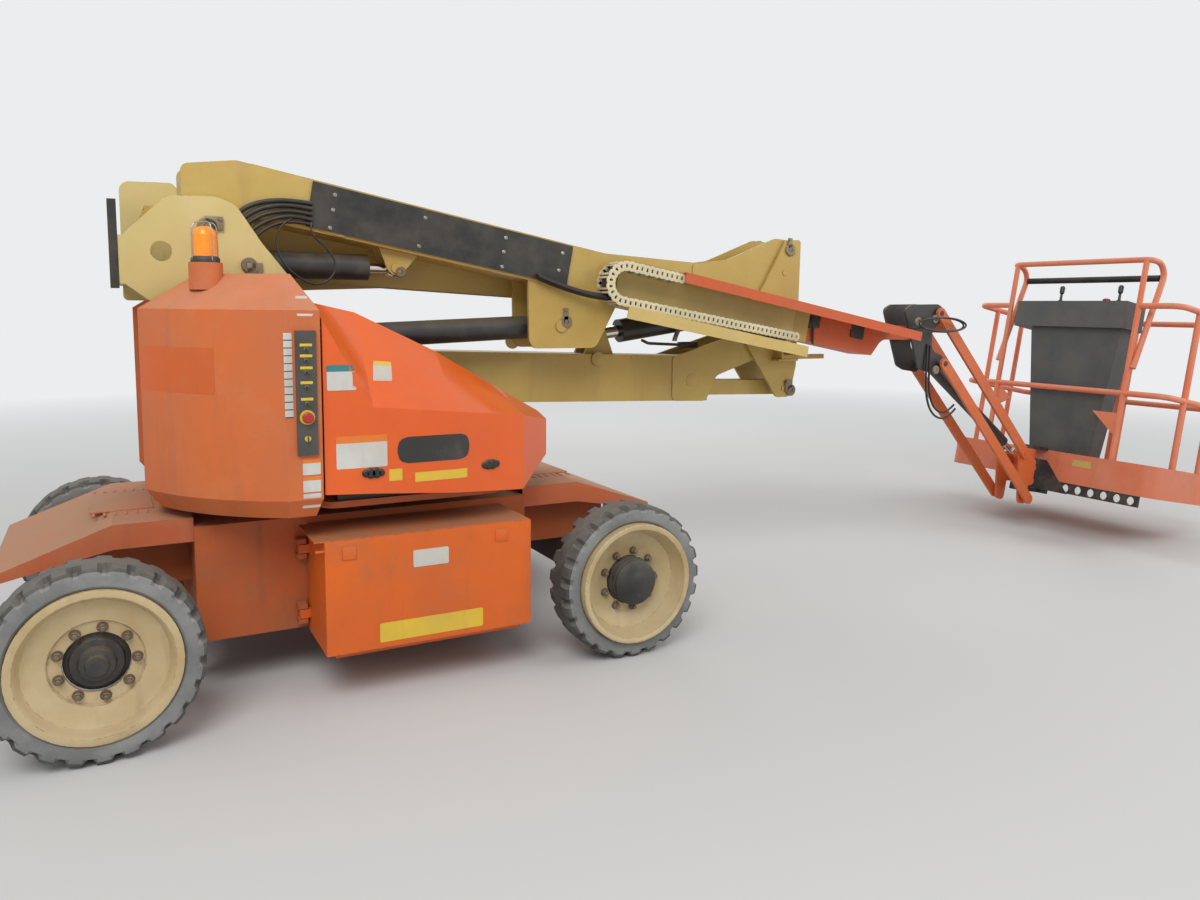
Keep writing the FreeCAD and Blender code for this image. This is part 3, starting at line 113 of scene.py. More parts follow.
def add_node(tree, kind, settings=(), values=()):
    made = tree.nodes.new(kind)
    for key, value in dict(settings).items():
        setattr(made, key, value)
    for key, value in dict(values).items():
        made.inputs[key].default_value = value
    return made


def blend_colours(tree, mask, first, second):
    # Mixes two colours, each a value or a socket, by a mask socket
    mix = add_node(tree, "ShaderNodeMix", {"data_type": "RGBA"})
    tree.links.new(mask, mix.inputs[0])
    for slot, colour in ((6, first), (7, second)):
        if isinstance(colour, tuple):
            mix.inputs[slot].default_value = colour
        else:
            tree.links.new(colour, mix.inputs[slot])
    return mix.outputs[2]


def spread(tree, value, low, high, to_low=0.0, to_high=1.0):
    span = add_node(tree, "ShaderNodeMapRange", {}, {"From Min": low, "From Max": high, "To Min": to_low, "To Max": to_high})
    tree.links.new(value, span.inputs["Value"])
    return span.outputs["Result"]


# One group makes rubber's and plastic's fine grain and the dust that settles on it.
grain = bpy.data.node_groups.new("grain_and_dust", "ShaderNodeTree")
for label, low, high, value in (("Grain Scale", 1.0, 2000.0, 300.0), ("Dust", 0.0, 1.0, 0.3)):
    socket = grain.interface.new_socket(label, in_out="INPUT", socket_type="NodeSocketFloat")
    socket.min_value, socket.max_value, socket.default_value = low, high, value
for label in ("Grain", "Dust Mask"):
    grain.interface.new_socket(label, in_out="OUTPUT", socket_type="NodeSocketFloat")
ins, outs = grain.nodes.new("NodeGroupInput"), grain.nodes.new("NodeGroupOutput")
where = grain.nodes.new("ShaderNodeTexCoord").outputs["Object"]
fine = add_node(grain, "ShaderNodeTexNoise", {}, {"Detail": 3.0})
grain.links.new(where, fine.inputs["Vector"])
grain.links.new(ins.outputs["Grain Scale"], fine.inputs["Scale"])
grain.links.new(fine.outputs[0], outs.inputs["Grain"])
settled = add_node(grain, "ShaderNodeTexNoise", {}, {"Scale": 5.0, "Detail": 6.0, "Roughness": 0.65})
grain.links.new(where, settled.inputs["Vector"])
facing = grain.nodes.new("ShaderNodeSeparateXYZ")
grain.links.new(grain.nodes.new("ShaderNodeNewGeometry").outputs["Normal"], facing.inputs[0])
amount = add_node(grain, "ShaderNodeMath", {"operation": "MULTIPLY_ADD"}, {1: 0.35})
grain.links.new(spread(grain, facing.outputs["Z"], -0.2, 1.0), amount.inputs[0])
grain.links.new(settled.outputs[0], amount.inputs[2])
dusted = add_node(grain, "ShaderNodeMath", {"operation": "MULTIPLY"})
grain.links.new(spread(grain, amount.outputs[0], 0.45, 0.95), dusted.inputs[0])
grain.links.new(ins.outputs["Dust"], dusted.inputs[1])
grain.links.new(dusted.outputs[0], outs.inputs["Dust Mask"])


def moulded(name, colour, rough, dust=0.3, grain_scale=300.0, relief=0.0004, dust_colour=(128, 118, 100)):
    finish, tree, shader = new_finish(name)
    mask = add_node(tree, "ShaderNodeGroup", {"node_tree": grain}, {"Grain Scale": grain_scale, "Dust": dust})
    tree.links.new(blend_colours(tree, mask.outputs["Dust Mask"], tone(*colour), tone(*dust_colour)), shader.inputs["Base Color"])
    tree.links.new(spread(tree, mask.outputs["Dust Mask"], 0.0, 1.0, rough, 0.85), shader.inputs["Roughness"])
    bump = add_node(tree, "ShaderNodeBump", {}, {"Strength": 0.5, "Distance": relief})
    tree.links.new(mask.outputs["Grain"], bump.inputs["Height"])
    tree.links.new(bump.outputs["Normal"], shader.inputs["Normal"])
    return finish


hose_rubber = moulded("hose_rubber", (26, 25, 24), 0.45, 0.22, 900.0)
cable_jacket = moulded("cable_jacket", (22, 21, 21), 0.35, 0.15, 1400.0)
braided_sleeve = moulded("braided_sleeve", (128, 124, 112), 0.5, 0.4, 700.0)


def hose(name, route, diameter, body, coat, across=None):
    line = bpy.data.curves.new(name, "CURVE")
    line.dimensions = "3D"
    spline = line.splines.new("NURBS")
    spline.points.add(len(route) - 1)
    for point, place in zip(spline.points, route):
        point.co = (*at(*place), 1.0)
    spline.order_u = 3
    spline.use_endpoint_u = True
    spline.resolution_u = 10
    run = bpy.data.objects.new(name, line)
    bpy.context.scene.collection.objects.link(run)
    bpy.context.view_layer.update()
    bare = bpy.data.meshes.new_from_object(run.evaluated_get(bpy.context.evaluated_depsgraph_get()))
    bpy.data.meshes.remove(bare)
    line.bevel_depth = diameter / 2000
    line.bevel_resolution = 3
    line.use_fill_caps = True
    line.materials.append(coat)
    if across:
        # A hose over a joint is turned into a mesh and left unattached to either body.
        bpy.context.view_layer.update()
        tube = bpy.data.meshes.new_from_object(run.evaluated_get(bpy.context.evaluated_depsgraph_get()))
        bpy.data.objects.remove(run)
        tube.name = name
        run = bpy.data.objects.new(name, tube)
        bpy.context.scene.collection.objects.link(run)
        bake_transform(run)
    else:
        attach(run, body)
    return run


# Five hoses arch from the top upright to the boom's black cover, with a thin cable below them.
arch_hoses = (
    ("arch_hose_1", 19, ((-500, -214, 1762), (-462, -236, 1842), (-404, -246, 1880), (-336, -248, 1898), (-252, -248, 1903), (-176, -246, 1896))),
    ("arch_hose_2", 19, ((-492, -214, 1740), (-452, -236, 1812), (-392, -244, 1858), (-324, -250, 1879), (-246, -251, 1884), (-176, -248, 1874))),
    ("arch_hose_3", 17, ((-486, -216, 1722), (-440, -238, 1790), (-380, -247, 1836), (-308, -252, 1858), (-236, -252, 1862), (-176, -248, 1852))),
    ("arch_hose_4", 17, ((-478, -216, 1704), (-424, -236, 1764), (-366, -246, 1812), (-296, -251, 1838), (-232, -252, 1841), (-176, -250, 1830))),
    ("arch_hose_5", 14, ((-470, -214, 1690), (-408, -232, 1742), (-352, -243, 1792), (-290, -250, 1817), (-230, -251, 1820), (-176, -249, 1812))),
)
for name, size, route in arch_hoses:
    hose(name, route, size, "top_upright", hose_rubber, across=("main_boom", (-470, -230, 1760), (-200, -230, 1860)))
hose("hanging_cable", ((-236, -252, 1842), (-296, -256, 1815), (-322, -258, 1740), (-306, -262, 1668), (-252, -266, 1606),
                       (-178, -268, 1566), (-112, -268, 1590), (-84, -266, 1650), (-116, -264, 1716), (-176, -260, 1762),
                       (-186, -254, 1812), (-176, -246, 1836)), 8, "main_boom", cable_jacket)
# A pair of hoses leaves the cover's lower corner and dips into the cable tray.
for number, (rise, out) in enumerate(((0, 0), (-17, -3), (-9, -18))):
    hose("tray_hose_%d" % (number + 1),
         ((824, -243 + out, 1640 + rise), (880, -248 + out, 1618 + rise), (960, -256 + out, 1590 + rise), (1060, -270 + out, 1562 + rise),
          (1150, -286 + out, 1548 + rise), (1235, -300 + out, 1540 + rise), (1300, -306 + out, 1528 + rise)), 15, "main_boom", hose_rubber)
# A cable coiled three times over the level bracket, and the jib cylinder's hoses below it.
hose("bracket_coil", ((3262, -226, 1400), (3288, -268, 1430), (3420, -278, 1452), (3560, -280, 1446), (3668, -280, 1420), (3672, -278, 1384),
                      (3590, -276, 1368), (3440, -276, 1376), (3310, -280, 1392), (3268, -286, 1420), (3340, -292, 1444), (3480, -294, 1452),
                      (3610, -294, 1440), (3690, -292, 1408), (3650, -290, 1376), (3520, -290, 1364), (3380, -290, 1374), (3290, -276, 1396),
                      (3266, -232, 1384)), 11, "bracket", cable_jacket)
hose("jib_hose_1", ((3440, -216, 1290), (3430, -224, 1200), (3422, -228, 1080), (3436, -228, 960), (3486, -226, 868), (3570, -222, 824),
                    (3662, -214, 838), (3730, -200, 880)), 13, "bracket", hose_rubber,
     across=("jib_lower", (3424, -226, 1120), (3700, -206, 860)))
hose("jib_hose_2", ((3462, -216, 1280), (3456, -222, 1190), (3450, -226, 1080), (3462, -226, 980), (3506, -224, 900), (3576, -220, 862),
                    (3656, -212, 872), (3716, -200, 906)), 13, "bracket", hose_rubber,
     across=("jib_lower", (3452, -224, 1120), (3690, -206, 890)))
# Two braided hoses rise in an arch beside the tower cylinder, and its steel pipes run below it.
for number, side in enumerate((92, 116)):
    hose("tower_hose_%d" % (number + 1), ((1799, side - 26, 1311), (1806, side - 30, 1345), (1832, side - 34, 1392), (1884, side - 36, 1416),
                                          (1960, side - 34, 1408), (2050, side - 28, 1380), (2121, side - 18, 1362)),
         13, "tower_barrel", braided_sleeve)

# Studio: a plain pale floor under a plain bright sky, with three broad soft lamps.
sky = bpy.data.worlds.new("studio_sky")
bpy.context.scene.world = sky
sky.use_nodes = True
air = sky.node_tree
background = air.nodes["Background"]
background.inputs["Color"].default_value = (0.93, 0.94, 0.95, 1.0)
ray = add_node(air, "ShaderNodeLightPath")
seen = add_node(air, "ShaderNodeMath", {"operation": "MAXIMUM"})
mirrored = add_node(air, "ShaderNodeMath", {"operation": "MAXIMUM"})
air.links.new(ray.outputs["Is Camera Ray"], seen.inputs[0])
air.links.new(ray.outputs["Is Transmission Ray"], seen.inputs[1])
air.links.new(seen.outputs[0], mirrored.inputs[0])
air.links.new(ray.outputs["Is Glossy Ray"], mirrored.inputs[1])
air.links.new(spread(air, mirrored.outputs[0], 0.0, 1.0, 0.62, 0.9), background.inputs["Strength"])

ground = bpy.data.meshes.new("studio_floor")
reach = 60.0
ground.from_pydata([(-reach, -reach, 0), (reach, -reach, 0), (reach, reach, 0), (-reach, reach, 0)], [], [(0, 1, 2, 3)])
floor = bpy.data.objects.new("studio_floor", ground)
bpy.context.scene.collection.objects.link(floor)
floor_finish, floor_tree, floor_shader = new_finish("pale_floor")
# The floor fades into the sky's own brightness far from the machine.
far_off = add_node(floor_tree, "ShaderNodeVectorMath", {"operation": "LENGTH"})
floor_tree.links.new(floor_tree.nodes.new("ShaderNodeTexCoord").outputs["Object"], far_off.inputs[0])
fading = spread(floor_tree, far_off.outputs["Value"], 4.5, 13.0)
floor_tree.links.new(blend_colours(floor_tree, fading, (0.6, 0.6, 0.59, 1.0), (0.0, 0.0, 0.0, 1.0)), floor_shader.inputs["Base Color"])
floor_tree.links.new(blend_colours(floor_tree, fading, (0.0, 0.0, 0.0, 1.0), (0.84, 0.85, 0.86, 1.0)), floor_shader.inputs["Emission Color"])
floor_shader.inputs["Emission Strength"].default_value = 1.0
floor_shader.inputs["Specular IOR Level"].default_value = 0.0
floor_shader.inputs["Roughness"].default_value = 0.9
ground.materials.append(floor_finish)


def studio_lamp(name, place, aim, size, watts):
    light = bpy.data.lights.new(name, "AREA")
    light.shape = "DISK"
    light.size = size
    light.energy = watts
    lamp = bpy.data.objects.new(name, light)
    lamp.location = place
    lamp.rotation_euler = (Vector(aim) - Vector(place)).to_track_quat("-Z", "Y").to_euler()
    bpy.context.scene.collection.objects.link(lamp)


studio_lamp("key_lamp", (-5.0, -6.0, 7.0), (-1.0, 0.0, 0.8), 5.0, 420)
studio_lamp("fill_lamp", (6.5, -5.0, 4.5), (1.0, 0.0, 0.8), 5.0, 200)
studio_lamp("back_lamp", (2.0, 7.0, 6.0), (0.0, 0.0, 0.8), 5.0, 220)


# Chassis: a welded box of plates with tie-down lugs, painted orange and dulled by yard dust,
# between two dark cast axles. One group makes the wear of all its paint, and the machine's.
weathering = bpy.data.node_groups.new("weathering", "ShaderNodeTree")
for label, low, high, value in (("Scale", 0.05, 20.0, 1.0), ("Edge Wear", 0.0, 1.0, 0.5), ("Spots", 0.0, 1.0, 0.2), ("Dust", 0.0, 1.0, 0.3)):
    socket = weathering.interface.new_socket(label, in_out="INPUT", socket_type="NodeSocketFloat")
    socket.min_value, socket.max_value, socket.default_value = low, high, value
for label in ("Fade", "Streaks", "Chips", "Dust Mask", "Relief"):
    weathering.interface.new_socket(label, in_out="OUTPUT", socket_type="NodeSocketFloat")
ins, outs = weathering.nodes.new("NodeGroupInput"), weathering.nodes.new("NodeGroupOutput")
where = add_node(weathering, "ShaderNodeVectorMath", {"operation": "SCALE"})
weathering.links.new(weathering.nodes.new("ShaderNodeTexCoord").outputs["Object"], where.inputs[0])
weathering.links.new(ins.outputs["Scale"], where.inputs["Scale"])


def cloud(tree, vector, scale, detail=4.0, rough=0.6, stretch=None):
    if stretch:
        turn = add_node(tree, "ShaderNodeMapping", {}, {"Scale": stretch})
        tree.links.new(vector, turn.inputs["Vector"])
        vector = turn.outputs[0]
    noise = add_node(tree, "ShaderNodeTexNoise", {}, {"Scale": scale, "Detail": detail, "Roughness": rough})
    tree.links.new(vector, noise.inputs["Vector"])
    return noise.outputs[0]


def combine(tree, operation, first, second):
    math_node = add_node(tree, "ShaderNodeMath", {"operation": operation})
    for index, value in enumerate((first, second)):
        if isinstance(value, (int, float)):
            math_node.inputs[index].default_value = value
        else:
            tree.links.new(value, math_node.inputs[index])
    return math_node.outputs[0]


spot = where.outputs[0]
weathering.links.new(spread(weathering, cloud(weathering, spot, 2.3, 6.0, 0.62), 0.38, 0.68), outs.inputs["Fade"])
runs = spread(weathering, cloud(weathering, spot, 1.0, 5.0, 0.65, (9.0, 9.0, 1.1)), 0.55, 0.85)
weathering.links.new(runs, outs.inputs["Streaks"])
shape = weathering.nodes.new("ShaderNodeNewGeometry")
facing = weathering.nodes.new("ShaderNodeSeparateXYZ")
weathering.links.new(shape.outputs["Normal"], facing.inputs[0])
lying = combine(weathering, "MULTIPLY", spread(weathering, facing.outputs["Z"], 0.1, 0.95), 0.55)
settled = spread(weathering, combine(weathering, "ADD", lying, cloud(weathering, spot, 5.5, 6.0, 0.7)), 0.5, 1.05)
weathering.links.new(combine(weathering, "MULTIPLY", settled, ins.outputs["Dust"]), outs.inputs["Dust Mask"])
rounded = add_node(weathering, "ShaderNodeBevel", {"samples": 4}, {"Radius": 0.005})
along = add_node(weathering, "ShaderNodeVectorMath", {"operation": "DOT_PRODUCT"})
weathering.links.new(rounded.outputs[0], along.inputs[0])
weathering.links.new(shape.outputs["Normal"], along.inputs[1])
edge = spread(weathering, along.outputs["Value"], 0.992, 0.93)
broken = spread(weathering, cloud(weathering, spot, 34.0, 4.0, 0.7), 0.5, 0.58)
worn_edge = combine(weathering, "MULTIPLY", combine(weathering, "MULTIPLY", edge, broken), ins.outputs["Edge Wear"])
speck = combine(weathering, "MULTIPLY", spread(weathering, cloud(weathering, spot, 26.0, 5.0, 0.7), 0.69, 0.72), ins.outputs["Spots"])
chips = combine(weathering, "MAXIMUM", worn_edge, speck)
weathering.links.new(chips, outs.inputs["Chips"])
peel = combine(weathering, "MULTIPLY", cloud(weathering, spot, 240.0, 2.0), 0.35)
weathering.links.new(combine(weathering, "SUBTRACT", peel, chips), outs.inputs["Relief"])


def paint(name, colour, faded, rough=0.45, coat=0.0, wear=0.5, spots=0.15, dust=0.3, scale=1.0, streaks=0.35,
          under=(92, 58, 44), dirt=(92, 76, 60), dust_colour=(168, 150, 124), metallic=0.0, relief=0.0006):
    finish, tree, shader = new_finish(name)
    mask = add_node(tree, "ShaderNodeGroup", {"node_tree": weathering},
                    {"Scale": scale, "Edge Wear": wear, "Spots": spots, "Dust": dust})
    coloured = blend_colours(tree, mask.outputs["Fade"], tone(*colour), tone(*faded))
    streaked = blend_colours(tree, combine(tree, "MULTIPLY", mask.outputs["Streaks"], streaks), coloured, tone(*dirt))
    dusty = blend_colours(tree, mask.outputs["Dust Mask"], streaked, tone(*dust_colour))
    tree.links.new(blend_colours(tree, mask.outputs["Chips"], dusty, tone(*under)), shader.inputs["Base Color"])
    dull = combine(tree, "MAXIMUM", mask.outputs["Dust Mask"], mask.outputs["Chips"])
    tree.links.new(spread(tree, dull, 0.0, 1.0, rough, 0.85), shader.inputs["Roughness"])
    shader.inputs["Metallic"].default_value = metallic
    shader.inputs["Coat Weight"].default_value = coat
    shader.inputs["Coat Roughness"].default_value = 0.12
    bump = add_node(tree, "ShaderNodeBump", {}, {"Strength": 0.35, "Distance": relief})
    tree.links.new(mask.outputs["Relief"], bump.inputs["Height"])
    tree.links.new(bump.outputs["Normal"], shader.inputs["Normal"])
    return finish


def dress(finish, *names):
    for name in names:
        nodes[name].data.materials.clear()
        nodes[name].data.materials.append(finish)


def make(name, form, finishes, body, stands_for=(), sharp=32):
    mesh = bpy.data.meshes.new(name)
    bmesh.ops.recalc_face_normals(form, faces=form.faces)
    form.to_mesh(mesh)
    form.free()
    for finish in finishes:
        mesh.materials.append(finish)
    mesh.shade_smooth()
    mesh.set_sharp_from_angle(angle=math.radians(sharp))
    piece = bpy.data.objects.new(name, mesh)
    bpy.context.scene.collection.objects.link(piece)
    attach(piece, body)
    if stands_for:
        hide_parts(*stands_for)
    return piece


def add_block(form, low, high, soften=2.0, layer=0, turn=None):
    low, high = at(*low), at(*high)
    matrix = Matrix.Translation((low + high) / 2) @ (turn or Matrix()) @ Matrix.Diagonal((*(high - low), 1.0))
    made = bmesh.ops.create_cube(form, size=1.0, matrix=matrix)
    edges = {edge for vertex in made["verts"] for edge in vertex.link_edges}
    faces = {face for vertex in made["verts"] for face in vertex.link_faces}
    for face in faces:
        face.material_index = layer
    bmesh.ops.bevel(form, geom=list(edges), offset=soften / 1000, segments=2, profile=0.5, affect="EDGES", material=layer)


def add_turned(form, profile, foot, axis, sides=24, layer=0):
    # Turns a profile of (radius, run) in millimetres about an axis from its foot
    stand = Vector((0, 0, 1)).rotation_difference(Vector(axis)).to_matrix()
    rings = []
    for radius, run in profile:
        count = 1 if radius == 0 else sides
        rings.append([form.verts.new(at(*foot) + stand @ Vector((radius / 1000 * math.cos(math.tau * k / sides),
                                                               radius / 1000 * math.sin(math.tau * k / sides), run / 1000)))
                      for k in range(count)])
    if profile[0][0] and profile[-1][0]:
        rings.append(rings[0])
    for first, second in zip(rings, rings[1:]):
        for k in range(sides):
            corners = [first[k % len(first)], first[(k + 1) % len(first)], second[(k + 1) % len(second)], second[k % len(second)]]
            corners = list(dict.fromkeys(corners))
            if len(corners) > 2:
                form.faces.new(corners).material_index = layer


def add_rod(form, start, end, radius, sides=16, chamfer=1.5, layer=0):
    length = (Vector(end) - Vector(start)).length
    axis = (Vector(end) - Vector(start)).normalized()
    add_turned(form, [(0, 0), (radius - chamfer, 0), (radius, chamfer), (radius, length - chamfer), (radius - chamfer, length), (0, length)],
               start, axis, sides, layer)


def add_plate(form, outline, low, high, axis="y", layer=0):
    # A flat plate: its outline in millimetres across the axis, and its two faces along it
    put = {"x": lambda p, d: (d, p[0], p[1]), "y": lambda p, d: (p[0], d, p[1]), "z": lambda p, d: (p[0], p[1], d)}[axis]
    sides = [[form.verts.new(at(*put(point, depth))) for point in outline] for depth in (low, high)]
    form.faces.new(sides[0]).material_index = layer
    form.faces.new(sides[1][::-1]).material_index = layer
    for k in range(len(outline)):
        after = (k + 1) % len(outline)
        form.faces.new((sides[0][k], sides[0][after], sides[1][after], sides[1][k])).material_index = layer


def surface_of(node):
    mesh = nodes[node].data
    return BVHTree.FromPolygons([v.co for v in mesh.vertices], [p.vertices for p in mesh.polygons])


def label(name, node, corners, outward, bands, slot_name, radius=8, body=None, lift=1.1, cells=5):
    # A thin sticker laid on a node: four corners (lower left, lower right, upper right, upper left)
    # near the surface, and bands of finishes from the top, each with the share of the height it ends at
    skin = surface_of(node)
    outward = Vector(outward).normalized()
    corners = [at(*corner) for corner in corners]
    wide = (corners[1] - corners[0]).length * 1000
    high = (corners[3] - corners[0]).length * 1000
    radius = min(radius, wide / 2.2, high / 2.2)
    stops = [radius, wide - radius]
    across = sorted({0, radius * 0.35, radius, wide - radius, wide - radius * 0.35, wide}
                    | {stops[0] + (stops[1] - stops[0]) * k / cells for k in range(cells + 1)})
    upward = sorted({0, radius * 0.35, radius, high - radius, high - radius * 0.35, high} | {high * (1 - share) for share, _ in bands[:-1]})
    form = bmesh.new()

    def rounded_place(u, v):
        du = min(u - radius, 0) + max(u - (wide - radius), 0)
        dv = min(v - radius, 0) + max(v - (high - radius), 0)
        if du and dv:
            pull = max(abs(du), abs(dv)) / math.hypot(du, dv)
            u, v = u - du + du * pull, v - dv + dv * pull
        s, t = u / wide, v / high
        return corners[0] * (1 - s) * (1 - t) + corners[1] * s * (1 - t) + corners[2] * s * t + corners[3] * (1 - s) * t

    sheets = []
    for depth in (lift, -0.6):
        rows = []
        for v in upward:
            row = []
            for u in across:
                point = rounded_place(u, v)
                for slip in (0.0, 0.0004, -0.0005, 0.0011):
                    hit = skin.ray_cast(point + outward * 0.08 + Vector((slip, slip, slip)), -outward, 0.3)[0]
                    if hit:
                        break
                row.append(form.verts.new((hit or point) + outward * depth / 1000))
            rows.append(row)
        sheets.append(rows)
    for j in range(len(upward) - 1):
        share = 1 - (upward[j] + upward[j + 1]) / 2 / high
        layer = next(index for index, (end, _) in enumerate(bands) if share <= end + 1e-6)
        for i in range(len(across) - 1):
            for rows in sheets:
                form.faces.new((rows[j][i], rows[j][i + 1], rows[j + 1][i + 1], rows[j + 1][i])).material_index = layer
    top, bottom = sheets
    rim = ([(j, 0) for j in range(len(upward))] + [(len(upward) - 1, i) for i in range(1, len(across))]
           + [(j, len(across) - 1) for j in range(len(upward) - 2, -1, -1)] + [(0, i) for i in range(len(across) - 2, 0, -1)])
    for first, second in zip(rim, rim[1:] + rim[:1]):
        form.faces.new((top[first[0]][first[1]], top[second[0]][second[1]], bottom[second[0]][second[1]], bottom[first[0]][first[1]]))
    return make(name, form, [finish for _, finish in bands], body or nodes[node]["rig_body"])


chassis_paint = paint("chassis_orange", (192, 90, 34), (160, 88, 48), 0.6, dust=0.75, spots=0.4, streaks=0.6, dust_colour=(150, 116, 84))
axle_iron = paint("axle_iron", (50, 47, 44), (66, 60, 54), 0.6, dust=0.6, wear=0.4, dust_colour=(120, 106, 88), under=(92, 74, 60))
bright_steel = paint("bright_steel", (168, 166, 160), (140, 136, 128), 0.3, wear=0.2, dust=0.25, metallic=0.9, under=(110, 84, 66), relief=0.0002)
black_paint = paint("black_paint", (34, 33, 32), (52, 50, 47), 0.5, wear=0.5, dust=0.45, under=(96, 80, 68), dust_colour=(112, 102, 88))
dress(chassis_paint, "chassis_frame")
dress(axle_iron, "steer_axle", "drive_axle", "steer_knuckle_near", "steer_knuckle_far")
dress(black_paint, "slew_bearing", "tie_rod")


def repeat(name, kind, item, finish, place, body, slot_name, **sizes):
    # Copies an item round a ring or along a row by Geometry Nodes, and gives one plain mesh
    tree = bpy.data.node_groups.new(name, "GeometryNodeTree")
    tree.interface.new_socket("Geometry", in_out="INPUT", socket_type="NodeSocketGeometry")
    for socket_name, socket_type in (("Item", "NodeSocketObject"), ("Count", "NodeSocketInt"), ("Radius", "NodeSocketFloat"),
                                     ("Step", "NodeSocketVector"), ("Route", "NodeSocketObject"), ("Finish", "NodeSocketMaterial")):
        tree.interface.new_socket(socket_name, in_out="INPUT", socket_type=socket_type)
    tree.interface.new_socket("Geometry", in_out="OUTPUT", socket_type="NodeSocketGeometry")
    entry, leave = tree.nodes.new("NodeGroupInput"), tree.nodes.new("NodeGroupOutput")
    item_info = tree.nodes.new("GeometryNodeObjectInfo")
    tree.links.new(entry.outputs["Item"], item_info.inputs["Object"])
    spots = tree.nodes.new("GeometryNodeInstanceOnPoints")
    if kind == "path":
        track_info = tree.nodes.new("GeometryNodeObjectInfo")
        tree.links.new(entry.outputs["Route"], track_info.inputs["Object"])
        points = add_node(tree, "GeometryNodeCurveToPoints", {"mode": "COUNT"})
        tree.links.new(track_info.outputs["Geometry"], points.inputs["Curve"])
        tree.links.new(entry.outputs["Count"], points.inputs["Count"])
        follow = add_node(tree, "FunctionNodeAlignRotationToVector", {"axis": "X", "pivot_axis": "Y"})
        tree.links.new(points.outputs["Tangent"], follow.inputs["Vector"])
        tree.links.new(follow.outputs[0], spots.inputs["Rotation"])
    elif kind == "ring":
        points = tree.nodes.new("GeometryNodeMeshCircle")
        tree.links.new(entry.outputs["Count"], points.inputs["Vertices"])
        tree.links.new(entry.outputs["Radius"], points.inputs["Radius"])
    else:
        points = add_node(tree, "GeometryNodeMeshLine", {"mode": "OFFSET"})
        tree.links.new(entry.outputs["Count"], points.inputs["Count"])
        tree.links.new(entry.outputs["Step"], points.inputs["Offset"])
    tree.links.new(points.outputs[0], spots.inputs["Points"])
    tree.links.new(item_info.outputs["Geometry"], spots.inputs["Instance"])
    real = tree.nodes.new("GeometryNodeRealizeInstances")
    coat = tree.nodes.new("GeometryNodeSetMaterial")
    tree.links.new(spots.outputs[0], real.inputs[0])
    tree.links.new(real.outputs[0], coat.inputs["Geometry"])
    tree.links.new(entry.outputs["Finish"], coat.inputs["Material"])
    tree.links.new(coat.outputs[0], leave.inputs[0])
    holder = bpy.data.objects.new(name, bpy.data.meshes.new(name + "_points"))
    bpy.context.scene.collection.objects.link(holder)
    modifier = holder.modifiers.new(name, "NODES")
    modifier.node_group = tree
    values = {"Item": item, "Finish": finish, **{key: value for key, value in sizes.items()}}
    for socket in tree.interface.items_tree:
        if socket.in_out == "INPUT" and socket.name in values:
            modifier[socket.identifier] = values[socket.name]
    bpy.context.view_layer.update()
    mesh = bpy.data.meshes.new_from_object(holder.evaluated_get(bpy.context.evaluated_depsgraph_get()))
    mesh.name = name
    mesh.transform(place)
    bpy.data.objects.remove(holder)
    mesh.set_sharp_from_angle(angle=math.radians(32))
    piece = bpy.data.objects.new(name, mesh)
    bpy.context.scene.collection.objects.link(piece)
    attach(piece, body)
    return piece


def template(build):
    # An item for the rings and rows, drawn about its own origin in millimetres and then taken away
    form = bmesh.new()
    build(form)
    bmesh.ops.translate(form, verts=form.verts, vec=-at(0, 0, 0))
    bmesh.ops.recalc_face_normals(form, faces=form.faces)
    mesh = bpy.data.meshes.new("item")
    form.to_mesh(mesh)
    form.free()
    mesh.shade_smooth()
    return bpy.data.objects.new("item", mesh)


def hex_bolt(form, flats=9.0, height=7.0, washer=12.0):
    add_turned(form, [(0, 0), (washer, 0), (washer, 2), (0, 2)], (0, 0, 0), (0, 0, 1), 14)
    add_turned(form, [(0, 2), (flats, 2), (flats, 2 + height - 1.5), (flats - 1.8, 2 + height), (0, 2 + height)], (0, 0, 0), (0, 0, 1), 6)


def facing_matrix(foot, axis):
    return Matrix.Translation(at(*foot)) @ Vector((0, 0, 1)).rotation_difference(Vector(axis)).to_matrix().to_4x4()


small_bolt = template(lambda form: hex_bolt(form, 9, 7, 12))
wheel_nut = template(lambda form: (hex_bolt(form, 14, 15, 18), add_turned(form, [(0, 16), (8, 16), (8, 27), (6.5, 28), (0, 28)], (0, 0, 0), (0, 0, 1), 10)))
repeat("slew_ring_bolts", "ring", small_bolt, black_paint, facing_matrix((0, 0, 712), (0, 0, 1)), "turntable", "dark_steel",
       Count=30, Radius=0.352)

# Axle covers: bolted orange boxes over each axle, with a hatch and zig-zag grip plates on top.
cover_paint = paint("cover_orange", (194, 92, 46), (178, 100, 66), 0.55, dust=0.7, spots=0.5, wear=0.8, under=(126, 96, 76), dust_colour=(168, 138, 108))
dress(cover_paint, "axle_covers")
for side, x in (("steer", -1), ("drive", 1)):
    form = bmesh.new()
    add_block(form, (x * 905 - 110, -190, 689), (x * 905 + 110, 190, 696), 2)
    for step in range(6):
        for row in (-1, 1):
            y = row * (236 + 0) + 0
            add_block(form, (x * 905 - 100 + step * 36, y - 26, 691), (x * 905 - 90 + step * 36, y + 26, 695), 1.2)
    make("hatch_" + side, form, [cover_paint], "chassis")
